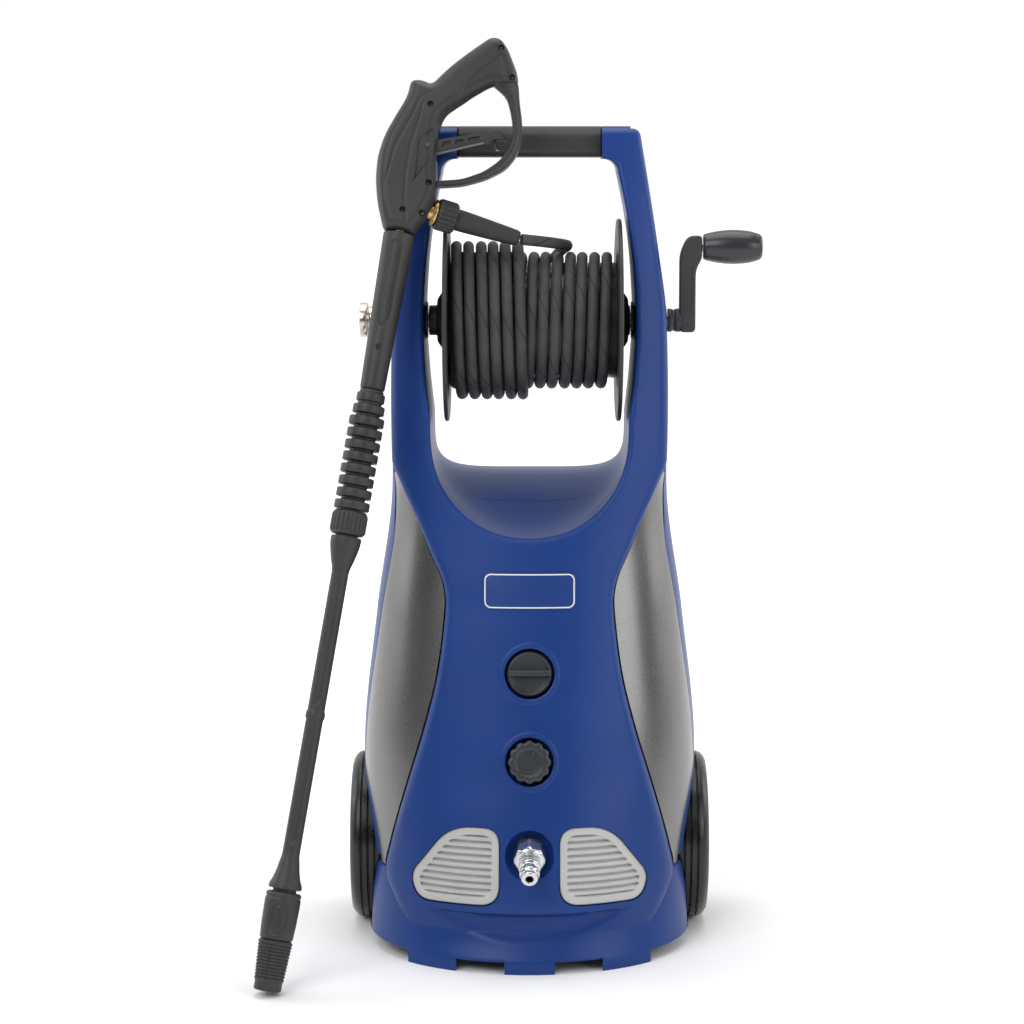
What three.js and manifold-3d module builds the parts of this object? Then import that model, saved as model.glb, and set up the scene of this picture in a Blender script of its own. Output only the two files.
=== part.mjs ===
// Upright electric pressure washer with a built-in hose reel, spray gun and lance.
//
// Millimetres, +Z up, -Y is the front, +X is the right-hand side seen from the front.
// The origin is on the floor, under the middle of the front foot, on the plane of symmetry.
//
// The casing is a tall loft: a hollow rear cover with two arms that hold the reel, two side
// panels let into its flanks, and an hourglass front cover that stands proud of them. Motor,
// pump, valve and switch stand inside on the base tray. The spray gun with its lance stands
// on the floor and leans against the left arm; its hose is wound on the reel.
import * as THREE from 'three';
import { mergeVertices } from 'three/addons/utils/BufferGeometryUtils.js';
import Module from 'manifold-3d';

const wasm = await Module();
wasm.setup();

// ---------------------------------------------------------------- driving dimensions

const GAP = 0.4; // between pieces that touch
const RUN = 0.5; // between pieces that turn in each other
const WALL = 3.2; // casing wall

const CASE_TOP = 866;
const SKIRT_BOTTOM = 12;
const SKIRT_TOP = 88;
const CHIN_BOTTOM = 28;

// Rear casing, by height: half width, front, widest line and back of its plan.
const CORE = [
  { z: 14, half: 150, front: 34, widest: 190, back: 288, round: 2.6 },
  { z: 90, half: 170, front: 36, widest: 190, back: 292, round: 2.6 },
  { z: 200, half: 180, front: 52, widest: 205, back: 294, round: 2.6 },
  { z: 350, half: 166, front: 80, widest: 215, back: 290, round: 2.6 },
  { z: 480, half: 149, front: 104, widest: 220, back: 282, round: 2.8 },
  { z: 560, half: 147, front: 116, widest: 200, back: 272, round: 4.5 },
  { z: 666, half: 145.5, front: 130, widest: 198, back: 262, round: 5 },
  { z: 790, half: 129, front: 152, widest: 202, back: 248, round: 5 },
  { z: CASE_TOP, half: 117, front: 172, widest: 200, back: 228, round: 4 },
];

// Front cover, by height: half width, front on the centre line, and its back edge.
const FACE = [
  { z: CHIN_BOTTOM, half: 120, front: 11, back: 64 },
  { z: 48, half: 134, front: 4, back: 70 },
  { z: 66, half: 143, front: 0, back: 78 },
  { z: 90, half: 152, front: 2.5, back: 96 },
  { z: 115, half: 147, front: 7, back: 100 },
  { z: 153, half: 137, front: 15, back: 104 },
  { z: 197, half: 124, front: 26, back: 108 },
  { z: 243, half: 110, front: 36, back: 110 },
  { z: 300, half: 96, front: 49, back: 108 },
  { z: 343, half: 90, front: 58, back: 110 },
  { z: 375, half: 87.5, front: 65, back: 114 },
  { z: 392, half: 90, front: 68, back: 118 },
  { z: 425, half: 104, front: 75, back: 150 },
  { z: 450, half: 115, front: 80, back: 164 },
  { z: 497, half: 137, front: 88, back: 172 },
  { z: 520, half: 145.5, front: 92, back: 176 },
  { z: 590, half: 146.5, front: 104, back: 184 },
  { z: 666, half: 145, front: 116, back: 188 },
  { z: 733, half: 137, front: 128, back: 192 },
  { z: 790, half: 128.5, front: 140, back: 196 },
  { z: CASE_TOP, half: 116.5, front: 163, back: 200 },
];
const FACE_BEVEL = 8;
const FACET = CASE_TOP / 866; // facets grow with the casing, so their number stays

const FACE_SAG = { half: 172, depth: 135 }; // the ellipse that the front follows in plan
const FACE_CURVE = [{ z: 60, k: 1 }, { z: 400, k: 0.72 }, { z: 560, k: 0.5 }, { z: CASE_TOP, k: 0.35 }]; // how closely

// Skirt round the foot of the front cover, by height.
const SKIRT = [
  { z: SKIRT_BOTTOM, half: 171, front: -5.5, centre: 138 },
  { z: 30, half: 170, front: 3, centre: 138 },
  { z: 58, half: 168, front: 12, centre: 138 },
  { z: SKIRT_TOP, half: 163, front: 28, centre: 138 },
];

// Opening between the arms: floor depth and squareness at its front and at its back.
const OPENING = {
  waist: 560, top: CASE_TOP - 32, corner: 14, frontY: 78, backY: 250,
  front: { depth: 118, square: 2.2 }, rear: { depth: 64, square: 5 },
};
const ARM_INNER = [
  { z: 560, half: 104 }, { z: 610, half: 109 }, { z: 666, half: 111.7 },
  { z: 720, half: 109 }, { z: 770, half: 103 }, { z: CASE_TOP - 51, half: 94 }, { z: CASE_TOP - 32, half: 89 },
];

const PANEL = { bottom: 86, top: 503, edgeY: 158, grooveX: 1.6, grooveY: 0.8, archLip: 12 };

const WHEEL = { x: 172, y: 225, r: 92, width: 44, rim: 70, hub: 17, axle: 7.5 };
const SKIRT_BACK = WHEEL.y - WHEEL.r - 7; // the skirt ends clear of the tyre
const ARCH = { r: WHEEL.r + 9, x: WHEEL.x - WHEEL.width / 2 - 3 }; // the wheel's recess clears its tyre

const REEL = {
  x: 3.5, y: 188, z: 663, core: 61.5, coreWall: 2.5, flange: 108, flangeT: 5, width: 178, hub: 22,
  axle: 8, axleBore: 5, bush: 15.4, bushFlange: 20, armIn: 111.2, armOut: 145.5,
};
const HOSE = { d: 11.7, pitch: 13, firstTurns: 13, secondTurns: 6 };
const HOSE_LEAD = [
  [-8.2, 141.6, 750.3], [8, 147.5, 748.5], [26, 160, 746], [38, 180, 743.5], [40, 202, 741.4], [33.5, 222, 735.8],
  [24, 240, 724.4],
];

const SWITCH = { z: 305, r: 23.5 };
const VALVE_KNOB = { z: 216, r: 22.3 };
const WELL = { gap: 2.6, depth: 17, wall: 2.4, lean: THREE.MathUtils.degToRad(11.6) };
const INLET = { z: 124, r: 25, depth: 14, hole: 15.2, dip: 20 };

const CABLE = { x: 70, y: 275.5, z: 150 };
const BADGE = { half: 48, high: 37, z: 389 };
const FOOT = { middle: 26, side: [76, 127], deep: 11, top: 24 };

const VENT = { inner: 31, outer: 125, top: 149, bottom: 70, sink: 1.4, thick: 5, ribs: 8 };

const GRIP = { half: 75, y: 197, z: CASE_TOP - 14, deep: 36, high: 33, bore: 8.4, tube: 8 };

const CRANK = { reach: 78, hub: 12.5, hubX: 147.5, armX: 160, armT: 17, deep: 22, spindle: 4.5, knobX: 185, knob: 63 };

// Drive, stood on the base tray, all on one upright axis.
const DRIVE = { x: 0, y: 148, pump: 50, pumpZ: 21, pumpTop: 100, motor: 60, motorTop: 232, fanTop: 262, shaft: 7 };
const TRAY = { z0: 15.5, z1: 20.5 };

// The spray gun's own frame: its origin is the middle of the nozzle's face. Its Z runs up the
// lance, its X to the right in the plane of the gun, its Y through the gun's thickness.
const GUN = {
  origin: new THREE.Vector3(-264, -73, 4.6),
  up: new THREE.Vector3(0.16464, 0.23177, 0.95874),
  thick: 17, guardThick: 8,
};
const GUN_BODY = [
  [51, 998], [59.5, 1006], [69.5, 1006], [79, 996], [92.8, 971.7], [96.3, 959], [71, 956.4], [49.8, 938.8],
  [44.4, 933], [27.5, 917.8], [23.2, 905.5], [24, 886], [25, 871], [29, 850], [32.6, 831.4], [29, 818], [22.1, 798.5],
  [18.2, 792], [16.5, 785], [-16.5, 785], [-20, 793], [-28, 813], [-34, 836.7], [-36.2, 861], [-33, 884.6],
  [-24.3, 909], [-16.4, 928.6], [-15.5, 947], [-3.7, 949], [6.6, 945.7], [19.6, 964.4], [33.2, 980],
];
const GUARD_OUT = [
  [92, 966], [96.3, 959], [100.6, 940], [106.5, 921], [109, 902], [106.5, 885], [97.2, 869], [78.5, 855.5],
  [56, 845.2], [25, 838],
];
const GUARD_IN = [
  [25, 844.4], [54, 851], [75, 862.5], [89.6, 877], [97, 891], [98.6, 903], [96.5, 918], [91, 934], [85, 946],
  [72, 954],
];
const TRIGGER = {
  pivot: [14, 879], pin: 2.4, thick: 6.2,
  outline: [
    [8, 874], [8, 884], [13, 888], [22, 888.5], [60, 901], [84, 909.5], [90, 907], [93, 899], [88, 901],
    [61, 890.5], [40, 881.5], [25, 875], [16, 870.5],
  ],
};
const LOCK = { pivot: [79, 901], head: 3.4, thick: 2.3, tip: [86, 888.5], pin: 1.2 };
const HOSE_AXIS = { z: 817, dir: [0.95, 0.25, -0.08] }; // the hose connection, in the gun's frame
// Distances up the lance from the nozzle's face.
const LANCE = {
  slit: 100, neck: 103, bellTop: 134, tube: 8.8, bell: 17, bossEnd: 431, bossTop: 465, nutTop: 493,
  ribTop: 619, sleeveTop: 784.4, pipe: 5, sleeve: [12.2, 16.6], nut: 18.6,
};
const NOZZLE = { head: 18.2, headEnd: 52, tip: 14, ribs: 6, slide: 2.4 };

// ---------------------------------------------------------------- materials

const paint = (color, roughness, metalness = 0) =>
  new THREE.MeshStandardMaterial({ color, roughness, metalness });
const BLUE = paint(0x24408a, 0.38);
const GREY = paint(0x8b8b88, 0.42, 0.3);
const SILVER = paint(0xc9cac8, 0.35, 0.4);
const BLACK = paint(0x2c2d2e, 0.5);
const GLOSS = paint(0x1c1d20, 0.2);
const RUBBER = paint(0x2e2f30, 0.75);
const TYRE = paint(0x18191a, 0.45);
const CHROME = paint(0xc8c8c8, 0.15, 1);
const BRASS = paint(0xb08a4a, 0.3, 1);
const STEEL = paint(0x9a9c9f, 0.4, 1);
const CAST = paint(0xa5a7a8, 0.5, 0.8);

// ---------------------------------------------------------------- helpers

const washer = new THREE.Group();

/** A closed geometry as a solid for booleans, turned outside out if its profile ran the other way. */
function solid(geometry) {
  const bare = geometry.index ? geometry.toNonIndexed() : geometry.clone();
  const only = new THREE.BufferGeometry().setAttribute('position', bare.getAttribute('position'));
  const merged = mergeVertices(only, 1e-3);
  const build = (triangles) => {
    const mesh = new wasm.Mesh({
      numProp: 3,
      vertProperties: new Float32Array(merged.attributes.position.array),
      triVerts: new Uint32Array(triangles),
    });
    mesh.merge();
    return new wasm.Manifold(mesh);
  };
  const body = build(merged.index.array);
  return body.volume() > 0 ? body : build(Array.from(merged.index.array).reverse());
}

/** A solid back as a geometry. */
function geometryOf(body) {
  const mesh = body.getMesh();
  const geometry = new THREE.BufferGeometry();
  geometry.setAttribute('position', new THREE.BufferAttribute(new Float32Array(mesh.vertProperties), 3));
  geometry.setIndex(new THREE.BufferAttribute(new Uint32Array(mesh.triVerts), 1));
  const flat = geometry.toNonIndexed();
  flat.computeVertexNormals();
  return flat;
}

/** Adds a solid or a geometry to the model as one named part. */
function part(name, shape, material, parent = washer) {
  const geometry = shape.isBufferGeometry ? shape : geometryOf(shape);
  const mesh = new THREE.Mesh(geometry, material);
  mesh.name = name;
  parent.add(mesh);
  return mesh;
}

/** A smooth value at height z from a table of stations, by a curve that never overshoots. */
function along(stations, key, z) {
  const last = stations.length - 1;
  if (z <= stations[0].z) return stations[0][key];
  if (z >= stations[last].z) return stations[last][key];
  const i = stations.findIndex((s, k) => k < last && z <= stations[k + 1].z);
  const slope = (k) => (stations[k + 1][key] - stations[k][key]) / (stations[k + 1].z - stations[k].z);
  const tangent = (k) => {
    if (k === 0) return slope(0);
    if (k === last) return slope(last - 1);
    const a = slope(k - 1);
    const b = slope(k);
    return a * b <= 0 ? 0 : (2 * a * b) / (a + b);
  };
  const span = stations[i + 1].z - stations[i].z;
  const t = (z - stations[i].z) / span;
  const h = [2 * t ** 3 - 3 * t ** 2 + 1, t ** 3 - 2 * t ** 2 + t, 3 * t ** 2 - 2 * t ** 3, t ** 3 - t ** 2];
  return h[0] * stations[i][key] + h[1] * span * tangent(i) + h[2] * stations[i + 1][key] + h[3] * span * tangent(i + 1);
}

/** Heights from bottom to top: every station, with steps between them no longer than step. */
function levels(stations, bottom, top, step) {
  const marks = [bottom, ...stations.map((s) => s.z).filter((z) => z > bottom + 1 && z < top - 1), top];
  const found = [bottom];
  for (let i = 1; i < marks.length; i++) {
    const n = Math.max(1, Math.round((marks[i] - marks[i - 1]) / step));
    for (let k = 1; k <= n; k++) found.push(marks[i - 1] + ((marks[i] - marks[i - 1]) * k) / n);
  }
  return found;
}

/** A closed body through rings of points, each ring closed by a fan from its middle. */
function loft(rings) {
  const n = rings[0].length;
  const points = rings.flat();
  const middle = (ring) => ring.reduce((sum, p) => sum.add(p), new THREE.Vector3()).divideScalar(n);
  points.push(middle(rings[0]), middle(rings[rings.length - 1]));
  const faces = [];
  for (let k = 0; k + 1 < rings.length; k++) {
    for (let i = 0; i < n; i++) {
      const j = (i + 1) % n;
      faces.push([k * n + i, k * n + j, (k + 1) * n + j], [k * n + i, (k + 1) * n + j, (k + 1) * n + i]);
    }
  }
  const top = (rings.length - 1) * n;
  for (let i = 0; i < n; i++) {
    const j = (i + 1) % n;
    faces.push([j, i, points.length - 2], [top + i, top + j, points.length - 1]);
  }
  const volume = faces.reduce((sum, [a, b, c]) => {
    return sum + points[a].dot(new THREE.Vector3().crossVectors(points[b], points[c]));
  }, 0);
  if (volume < 0) faces.forEach((f) => f.reverse());
  const geometry = new THREE.BufferGeometry().setFromPoints(points);
  geometry.setIndex(faces.flat());
  return geometry;
}

/** A cylinder, tube or cone along x, y or z, centred at a point. */
function rod(axis, radius, length, centre, { bore = 0, end = radius, sides = 24 } = {}) {
  const h = length / 2;
  const profile = bore
    ? [[bore, -h], [radius, -h], [end, h], [bore, h], [bore, -h]]
    : [[0, -h], [radius, -h], [end, h], [0, h]];
  return turned(axis, profile, centre, sides);
}

/** A lathed body: profile points are [radius, distance along the axis]. */
function turned(axis, profile, centre = new THREE.Vector3(), sides = 24) {
  const geometry = new THREE.LatheGeometry(profile.map(([r, h]) => new THREE.Vector2(r, h)), sides);
  if (axis === 'x') geometry.rotateZ(-Math.PI / 2);
  if (axis === 'z') geometry.rotateX(Math.PI / 2);
  return geometry.translate(centre.x, centre.y, centre.z);
}

const at = (x, y, z) => new THREE.Vector3(x, y, z);
const box = (x, y, z, centre) => new THREE.BoxGeometry(x, y, z).translate(centre.x, centre.y, centre.z);

/** A flat shape in the YZ plane, given a thickness along X about its middle. */
function slabX(points, x0, x1) {
  const shape = new THREE.Shape(points.map(([y, z]) => new THREE.Vector2(y, z)));
  const geometry = new THREE.ExtrudeGeometry(shape, { depth: x1 - x0, bevelEnabled: false });
  return geometry.rotateX(Math.PI / 2).rotateZ(Math.PI / 2).translate(x0, 0, 0);
}

/** A flat shape in the XZ plane, given a thickness from y0 back to y1. */
function slabY(shape, y0, y1, curveSegments = 4) {
  const geometry = new THREE.ExtrudeGeometry(shape, { depth: y1 - y0, bevelEnabled: false, curveSegments });
  return geometry.rotateX(Math.PI / 2).translate(0, y1, 0);
}

/** A flat shape in the XY plane, given a thickness from z0 up to z1. */
function slabZ(shape, z0, z1, curveSegments = 12) {
  return new THREE.ExtrudeGeometry(shape, { depth: z1 - z0, bevelEnabled: false, curveSegments }).translate(0, 0, z0);
}

const union = (...all) => all.reduce((a, b) => a.add(b));

// ---------------------------------------------------------------- casing surfaces

const power = (v, p) => Math.sign(v) * Math.abs(v) ** p;

/** Plan of the rear casing at height z, drawn in by inset. */
function coreRing(z, inset, sides = 36) {
  const s = (key) => along(CORE, key, z);
  const half = s('half') - inset;
  const widest = s('widest');
  const ring = [];
  for (let i = 0; i < sides; i++) {
    const a = (i / sides) * 2 * Math.PI;
    const ahead = Math.sin(a) < 0;
    const n = ahead ? s('round') : 5;
    const deep = ahead ? widest - s('front') - inset : s('back') - widest - inset;
    ring.push(at(half * power(Math.cos(a), 2 / n), widest + deep * power(Math.sin(a), 2 / n), z));
  }
  return ring;
}

/** How far the plan's ellipse falls back at x. */
function sag(x) {
  const share = Math.min(Math.abs(x) / FACE_SAG.half, 0.999);
  return FACE_SAG.depth * (1 - Math.sqrt(1 - share ** 2));
}

/** The front cover's surface at x and z. */
const faceY = (x, z) => along(FACE, 'front', z) + sag(x) * along(FACE_CURVE, 'k', z);

/** Plan of the front cover at height z, drawn in by inset; its back edge moves by openBack. */
function faceRing(z, inset, openBack = 0, across = 10) {
  const half = along(FACE, 'half', z) - inset;
  const back = along(FACE, 'back', z) + openBack;
  const bevel = FACE_BEVEL;
  const ring = [at(-half, back, z), at(-half, Math.min(faceY(half, z) + inset + bevel, back - 2), z)];
  for (let i = 0; i <= across; i++) {
    const x = (half - bevel * 0.9) * ((2 * i) / across - 1);
    ring.push(at(x, Math.min(faceY(x, z) + inset, back - 4), z));
  }
  ring.push(at(half, ring[1].y, z), at(half, back, z));
  return ring;
}

/** Plan of the skirt at height z. */
function skirtRing(z, inset, sides = 24) {
  const half = along(SKIRT, 'half', z) - inset;
  const centre = along(SKIRT, 'centre', z);
  const deep = centre - along(SKIRT, 'front', z) - inset;
  const ring = [];
  for (let i = 0; i <= sides; i++) {
    const a = Math.PI * (1 + i / sides);
    ring.push(at(half * Math.cos(a), Math.min(centre + deep * Math.sin(a), SKIRT_BACK + (inset ? 8 : 0)), z));
  }
  return ring;
}

/** Outline of the opening between the arms, in the plane at y, grown by grow. */
function openingRing(y, grow) {
  const t = THREE.MathUtils.smoothstep(y, OPENING.frontY, OPENING.backY);
  const depth = THREE.MathUtils.lerp(OPENING.front.depth, OPENING.rear.depth, t) + grow;
  const square = THREE.MathUtils.lerp(OPENING.front.square, OPENING.rear.square, t);
  const right = [];
  const low = 7;
  for (let i = 0; i <= low; i++) {
    const a = (i / low) * (Math.PI / 2);
    const half = along(ARM_INNER, 'half', OPENING.waist) + grow;
    right.push(at(half * power(Math.sin(a), 2 / square), y, OPENING.waist - depth * power(Math.cos(a), 2 / square)));
  }
  const top = OPENING.top + grow;
  const shoulder = top - OPENING.corner;
  for (const z of levels(ARM_INNER, OPENING.waist, shoulder, 90 * FACET).slice(1)) {
    right.push(at(along(ARM_INNER, 'half', z) + grow, y, z));
  }
  const x = along(ARM_INNER, 'half', shoulder) + grow;
  for (let i = 1; i <= 2; i++) {
    const a = (i / 2) * (Math.PI / 2);
    right.push(at(x - OPENING.corner * (1 - Math.cos(a)), y, shoulder + OPENING.corner * Math.sin(a)));
  }
  const left = right.slice(1).reverse().map((p) => at(-p.x, p.y, p.z));
  return [...right, ...left];
}

const openingSolid = (grow) => solid(loft([-20, 78, 110, 140, 170, 205, 250, 330].map((y) => openingRing(y, grow))));
const coreSolid = (inset, top = CASE_TOP - inset) =>
  solid(loft(levels(CORE, 14, top, 90 * FACET).map((z) => coreRing(z, inset))));
const faceSolid = (inset, openBack, top = CASE_TOP - inset, shift = 0) =>
  solid(loft(levels(FACE, CHIN_BOTTOM, top, 90 * FACET).map((z) => faceRing(z, inset, openBack))).translate(0, shift, 0));
const skirtSolid = (inset, top = SKIRT_TOP - inset, bottom = SKIRT_BOTTOM) =>
  solid(loft(levels(SKIRT, bottom, top, 20).map((z) => skirtRing(z, inset))));

/** Everything behind the parting line of the two covers, in the side view, from y by offset. */
function behindParting(offset) {
  const line = levels(FACE, 430, CASE_TOP + 10, 40 * FACET).map((z) => [along(FACE, 'back', z) + offset, z]);
  const edge = PANEL.edgeY + offset;
  return solid(slabX([[edge, 0], [400, 0], [400, CASE_TOP + 10], ...line.reverse(), [edge, 426]], -260, 260));
}

/** A point on the front cover's centre line at height z, and the way that its surface leans there. */
function onFace(z, depth = 0) {
  return at(0, along(FACE, 'front', z) + depth, z);
}

/** A geometry made about the Y axis, moved onto the face at height z and leaned with it. */
function seated(geometry, z, lean = WELL.lean) {
  const place = onFace(z);
  return geometry.rotateX(-lean).translate(place.x, place.y, place.z);
}

const wheelArch = (grow) => union(...[-1, 1].map((side) =>
  solid(rod('x', ARCH.r + grow, 80, at(side * (ARCH.x - grow + 40), WHEEL.y, WHEEL.r), { sides: 48 }))));

const handleStubs = (shrink) => union(...[-1, 1].map((side) =>
  solid(barBlock(side * 88, 26, GRIP.deep - 2 * shrink, GRIP.high - 2 * shrink))));

/** A length of the handle's section along X. */
function barBlock(x, length, deep, high) {
  const ring = (px) => {
    const points = [];
    for (let i = 0; i < 20; i++) {
      const a = (i / 20) * 2 * Math.PI;
      points.push(at(px, GRIP.y + (deep / 2) * power(Math.cos(a), 0.6), GRIP.z + (high / 2) * power(Math.sin(a), 0.6)));
    }
    return points;
  };
  return loft([ring(x - length / 2), ring(x + length / 2)]);
}

const handleGap = solid(box(2 * (GRIP.half + 1.4), 200, 120, at(0, GRIP.y, GRIP.z + 20)));
const axleHole = solid(rod('x', REEL.bush + GAP, 400, at(0, REEL.y, REEL.z), { sides: 28 }));

// ---------------------------------------------------------------- casing parts

function ventShape(side, grow) {
  const { inner, outer, top, bottom } = VENT;
  const g = grow;
  const corners = [
    [inner - g, bottom - g, 22], [outer - 9 + g, bottom - g, 9], [outer + g, bottom + 24, 9],
    [outer - 42 + g, top + g, 18], [inner - g, top + g, 16],
  ];
  const shape = new THREE.Shape();
  corners.forEach(([x, z, round], i) => {
    const r = Math.max(round + g, 2);
    const [px, pz] = corners[(i + corners.length - 1) % corners.length];
    const [nx, nz] = corners[(i + 1) % corners.length];
    const from = new THREE.Vector2(px - x, pz - z).setLength(r).add(new THREE.Vector2(x, z));
    const to = new THREE.Vector2(nx - x, nz - z).setLength(r).add(new THREE.Vector2(x, z));
    if (i === 0) shape.moveTo(side * from.x, from.y);
    else shape.lineTo(side * from.x, from.y);
    shape.quadraticCurveTo(side * x, z, side * to.x, to.y);
  });
  shape.closePath();
  return shape;
}

function frontCover() {
  const outside = union(faceSolid(0, 0), skirtSolid(0));
  const opening = openingSolid(0);
  const wellCup = (z, r) => solid(seated(rod('y', r + WELL.gap + WELL.wall, 2 * WELL.depth + 2 * WELL.wall, at(0, 0, 0), { sides: 24 }), z));
  const wellHole = (z, r) => union(
    solid(seated(rod('y', r + WELL.gap, 2 * WELL.depth, at(0, 0, 0), { sides: 24 }), z)),
    solid(seated(rod('y', 6.5, 80, at(0, 0, 0), { sides: 16 }), z)));
  const inletCup = solid(rod('y', INLET.r + WELL.wall, 2 * (INLET.depth + WELL.wall), onFace(INLET.z), { sides: 24 }));
  const inletHole = union(
    solid(rod('y', INLET.r, 2 * INLET.depth, onFace(INLET.z), { sides: 24 })),
    solid(rod('y', INLET.hole, 80, onFace(INLET.z), { sides: 24 })));
  const hollow = union(faceSolid(WALL, 60), skirtSolid(WALL)).subtract(openingSolid(WALL));
  const cups = union(wellCup(SWITCH.z, SWITCH.r), wellCup(VALVE_KNOB.z, VALVE_KNOB.r), inletCup);
  const cheek = solid(box(400, 400, 200, at(0, SKIRT_BACK + 200, 40)));
  let shell = outside.subtract(hollow.subtract(cups)).subtract(opening).subtract(cheek);
  shell = shell.subtract(union(wellHole(SWITCH.z, SWITCH.r), wellHole(VALVE_KNOB.z, VALVE_KNOB.r), inletHole));
  for (const side of [-1, 1]) {
    shell = shell.subtract(solid(slabY(ventShape(side, 0.8), -30, 120)));
    const frame = solid(slabY(ventShape(side, 0.8 + WALL), -30, 120));
    const seat = frame.intersect(faceBand(VENT.sink + VENT.thick + 0.6, VENT.sink + VENT.thick + 3));
    shell = shell.add(seat.subtract(solid(slabY(ventShape(side, -4), -30, 120))).subtract(coreSolid(-2 * GAP)));
  }
  shell = shell.subtract(handleGap).subtract(axleHole).subtract(behindParting(0));
  const stubs = handleStubs(0).subtract(handleStubs(WALL)).subtract(behindParting(0)).subtract(handleGap);
  shell = shell.add(stubs).add(feet());
  return biggest(shell, 0.3);
}

/** The layer of the front surface between two depths. */
function faceBand(from, to) {
  const outer = union(faceSolid(0, 0, 300, from), skirtSolid(0).translate([0, from, 0]));
  const inner = union(faceSolid(0, 0, 300, to), skirtSolid(0).translate([0, to, 0]));
  return outer.subtract(inner);
}

/** The largest of a solid's separate bodies, rid of the slivers that cutting leaves. */
function biggest(body, tolerance = 0.12) {
  return body.decompose().reduce((a, b) => (b.volume() > a.volume() ? b : a)).simplify(tolerance);
}

function rearCover() {
  const inside = union(coreSolid(WALL), solid(slabZ(new THREE.Shape([
    new THREE.Vector2(-140, 60), new THREE.Vector2(140, 60), new THREE.Vector2(140, 270), new THREE.Vector2(-140, 270),
  ]), 0, 30))).subtract(openingSolid(WALL)).subtract(wheelArch(WALL));
  let shell = coreSolid(0).subtract(inside).subtract(openingSolid(0)).subtract(wheelArch(0));
  const panelZone = solid(slabX(panelOutline(), -260, 260));
  const behind = behindParting(GAP);
  const lip = solid(slabX(archLipOutline(), -260, 260));
  const sides = solid(box(600, 600, 410, at(0, 0, 302))).subtract(solid(box(220, 600, 500, at(0, 0, 302))));
  shell = shell.intersect(union(behind, lip.intersect(sides))).subtract(panelZone.intersect(sides));
  shell = shell.subtract(handleGap).subtract(axleHole);
  const stubs = handleStubs(0).subtract(handleStubs(WALL)).intersect(behind).subtract(handleGap);
  shell = shell.add(stubs);
  shell = shell.subtract(solid(rod('x', WHEEL.axle + GAP, 400, at(0, WHEEL.y, WHEEL.r), { sides: 20 })));
  shell = shell.subtract(solid(rod('y', 9.4, 60, at(CABLE.x, CABLE.y + 10, CABLE.z), { sides: 20 })));
  return biggest(shell);
}

/** The side panel's outline in the side view: a leaf between the parting line and the arch. */
function panelOutline(grow = 0) {
  const r = ARCH.r + PANEL.archLip - grow;
  const points = [[0, PANEL.bottom - grow]];
  const low = Math.asin((PANEL.bottom - grow - WHEEL.r) / r);
  const high = Math.acos((WHEEL.y - PANEL.edgeY - grow) / r);
  for (let i = 0; i <= 10; i++) {
    const a = THREE.MathUtils.lerp(low, high, i / 10);
    points.push([WHEEL.y - r * Math.cos(a), WHEEL.r + r * Math.sin(a)]);
  }
  points.push([PANEL.edgeY + grow, 430], [PANEL.edgeY + 12 + grow, PANEL.top + grow], [0, PANEL.top + grow]);
  return points;
}

/** The rear cover's tongue that runs forward round the wheel arch. */
function archLipOutline() {
  return [[SKIRT_BACK - 18, PANEL.bottom + 4], [240, PANEL.bottom + 4], [240, 260], [SKIRT_BACK - 18, 260]];
}

function sidePanel(side) {
  const skin = coreSolid(0).subtract(coreSolid(WALL));
  const outline = solid(slabX(panelOutline(-PANEL.grooveY), -260, 260));
  const half = solid(box(300, 600, 900, at(side * 150, 150, 400)));
  const keepOut = union(faceSolid(-PANEL.grooveX, 60, CASE_TOP), skirtSolid(-PANEL.grooveX, SKIRT_TOP + 1.2));
  return biggest(skin.intersect(outline).intersect(half).subtract(keepOut).subtract(wheelArch(2)));
}

function vent(side) {
  const plate = solid(slabY(ventShape(side, 0), -30, 120))
    .intersect(faceBand(VENT.sink, VENT.sink + VENT.thick));
  const pitch = (VENT.top - VENT.bottom - 14) / VENT.ribs;
  const inside = solid(slabY(ventShape(side, -8), -40, 130));
  const slots = [];
  for (let i = 0; i < VENT.ribs; i++) {
    const z = VENT.bottom + 11 + pitch * i;
    slots.push(solid(box(130, 200, pitch * 0.5, at(side * 78, 40, z))));
  }
  return biggest(plate.subtract(union(...slots).intersect(inside)));
}

function baseTray() {
  const plan = union(skirtSolid(WALL + GAP, TRAY.z1, TRAY.z0), coreSolid(WALL + GAP));
  const layer = solid(box(500, 500, TRAY.z1 - TRAY.z0, at(0, 150, (TRAY.z0 + TRAY.z1) / 2)));
  return biggest(plan.intersect(layer).subtract(wheelArch(WALL + GAP)).subtract(feet(GAP)));
}

/** Three blocks under the front edge, one in the middle and one on each side. */
function feet(grow = 0) {
  const ring = skirtSolid(0, FOOT.top + grow, -grow).subtract(skirtSolid(FOOT.deep + grow, FOOT.top + 9, -9));
  const spans = [[-FOOT.middle, FOOT.middle], FOOT.side, [-FOOT.side[1], -FOOT.side[0]]];
  const columns = spans.map(([a, b]) => solid(box(b - a + 2 * grow, 140, 80, at((a + b) / 2, 50, 10))));
  return ring.intersect(union(...columns));
}

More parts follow.
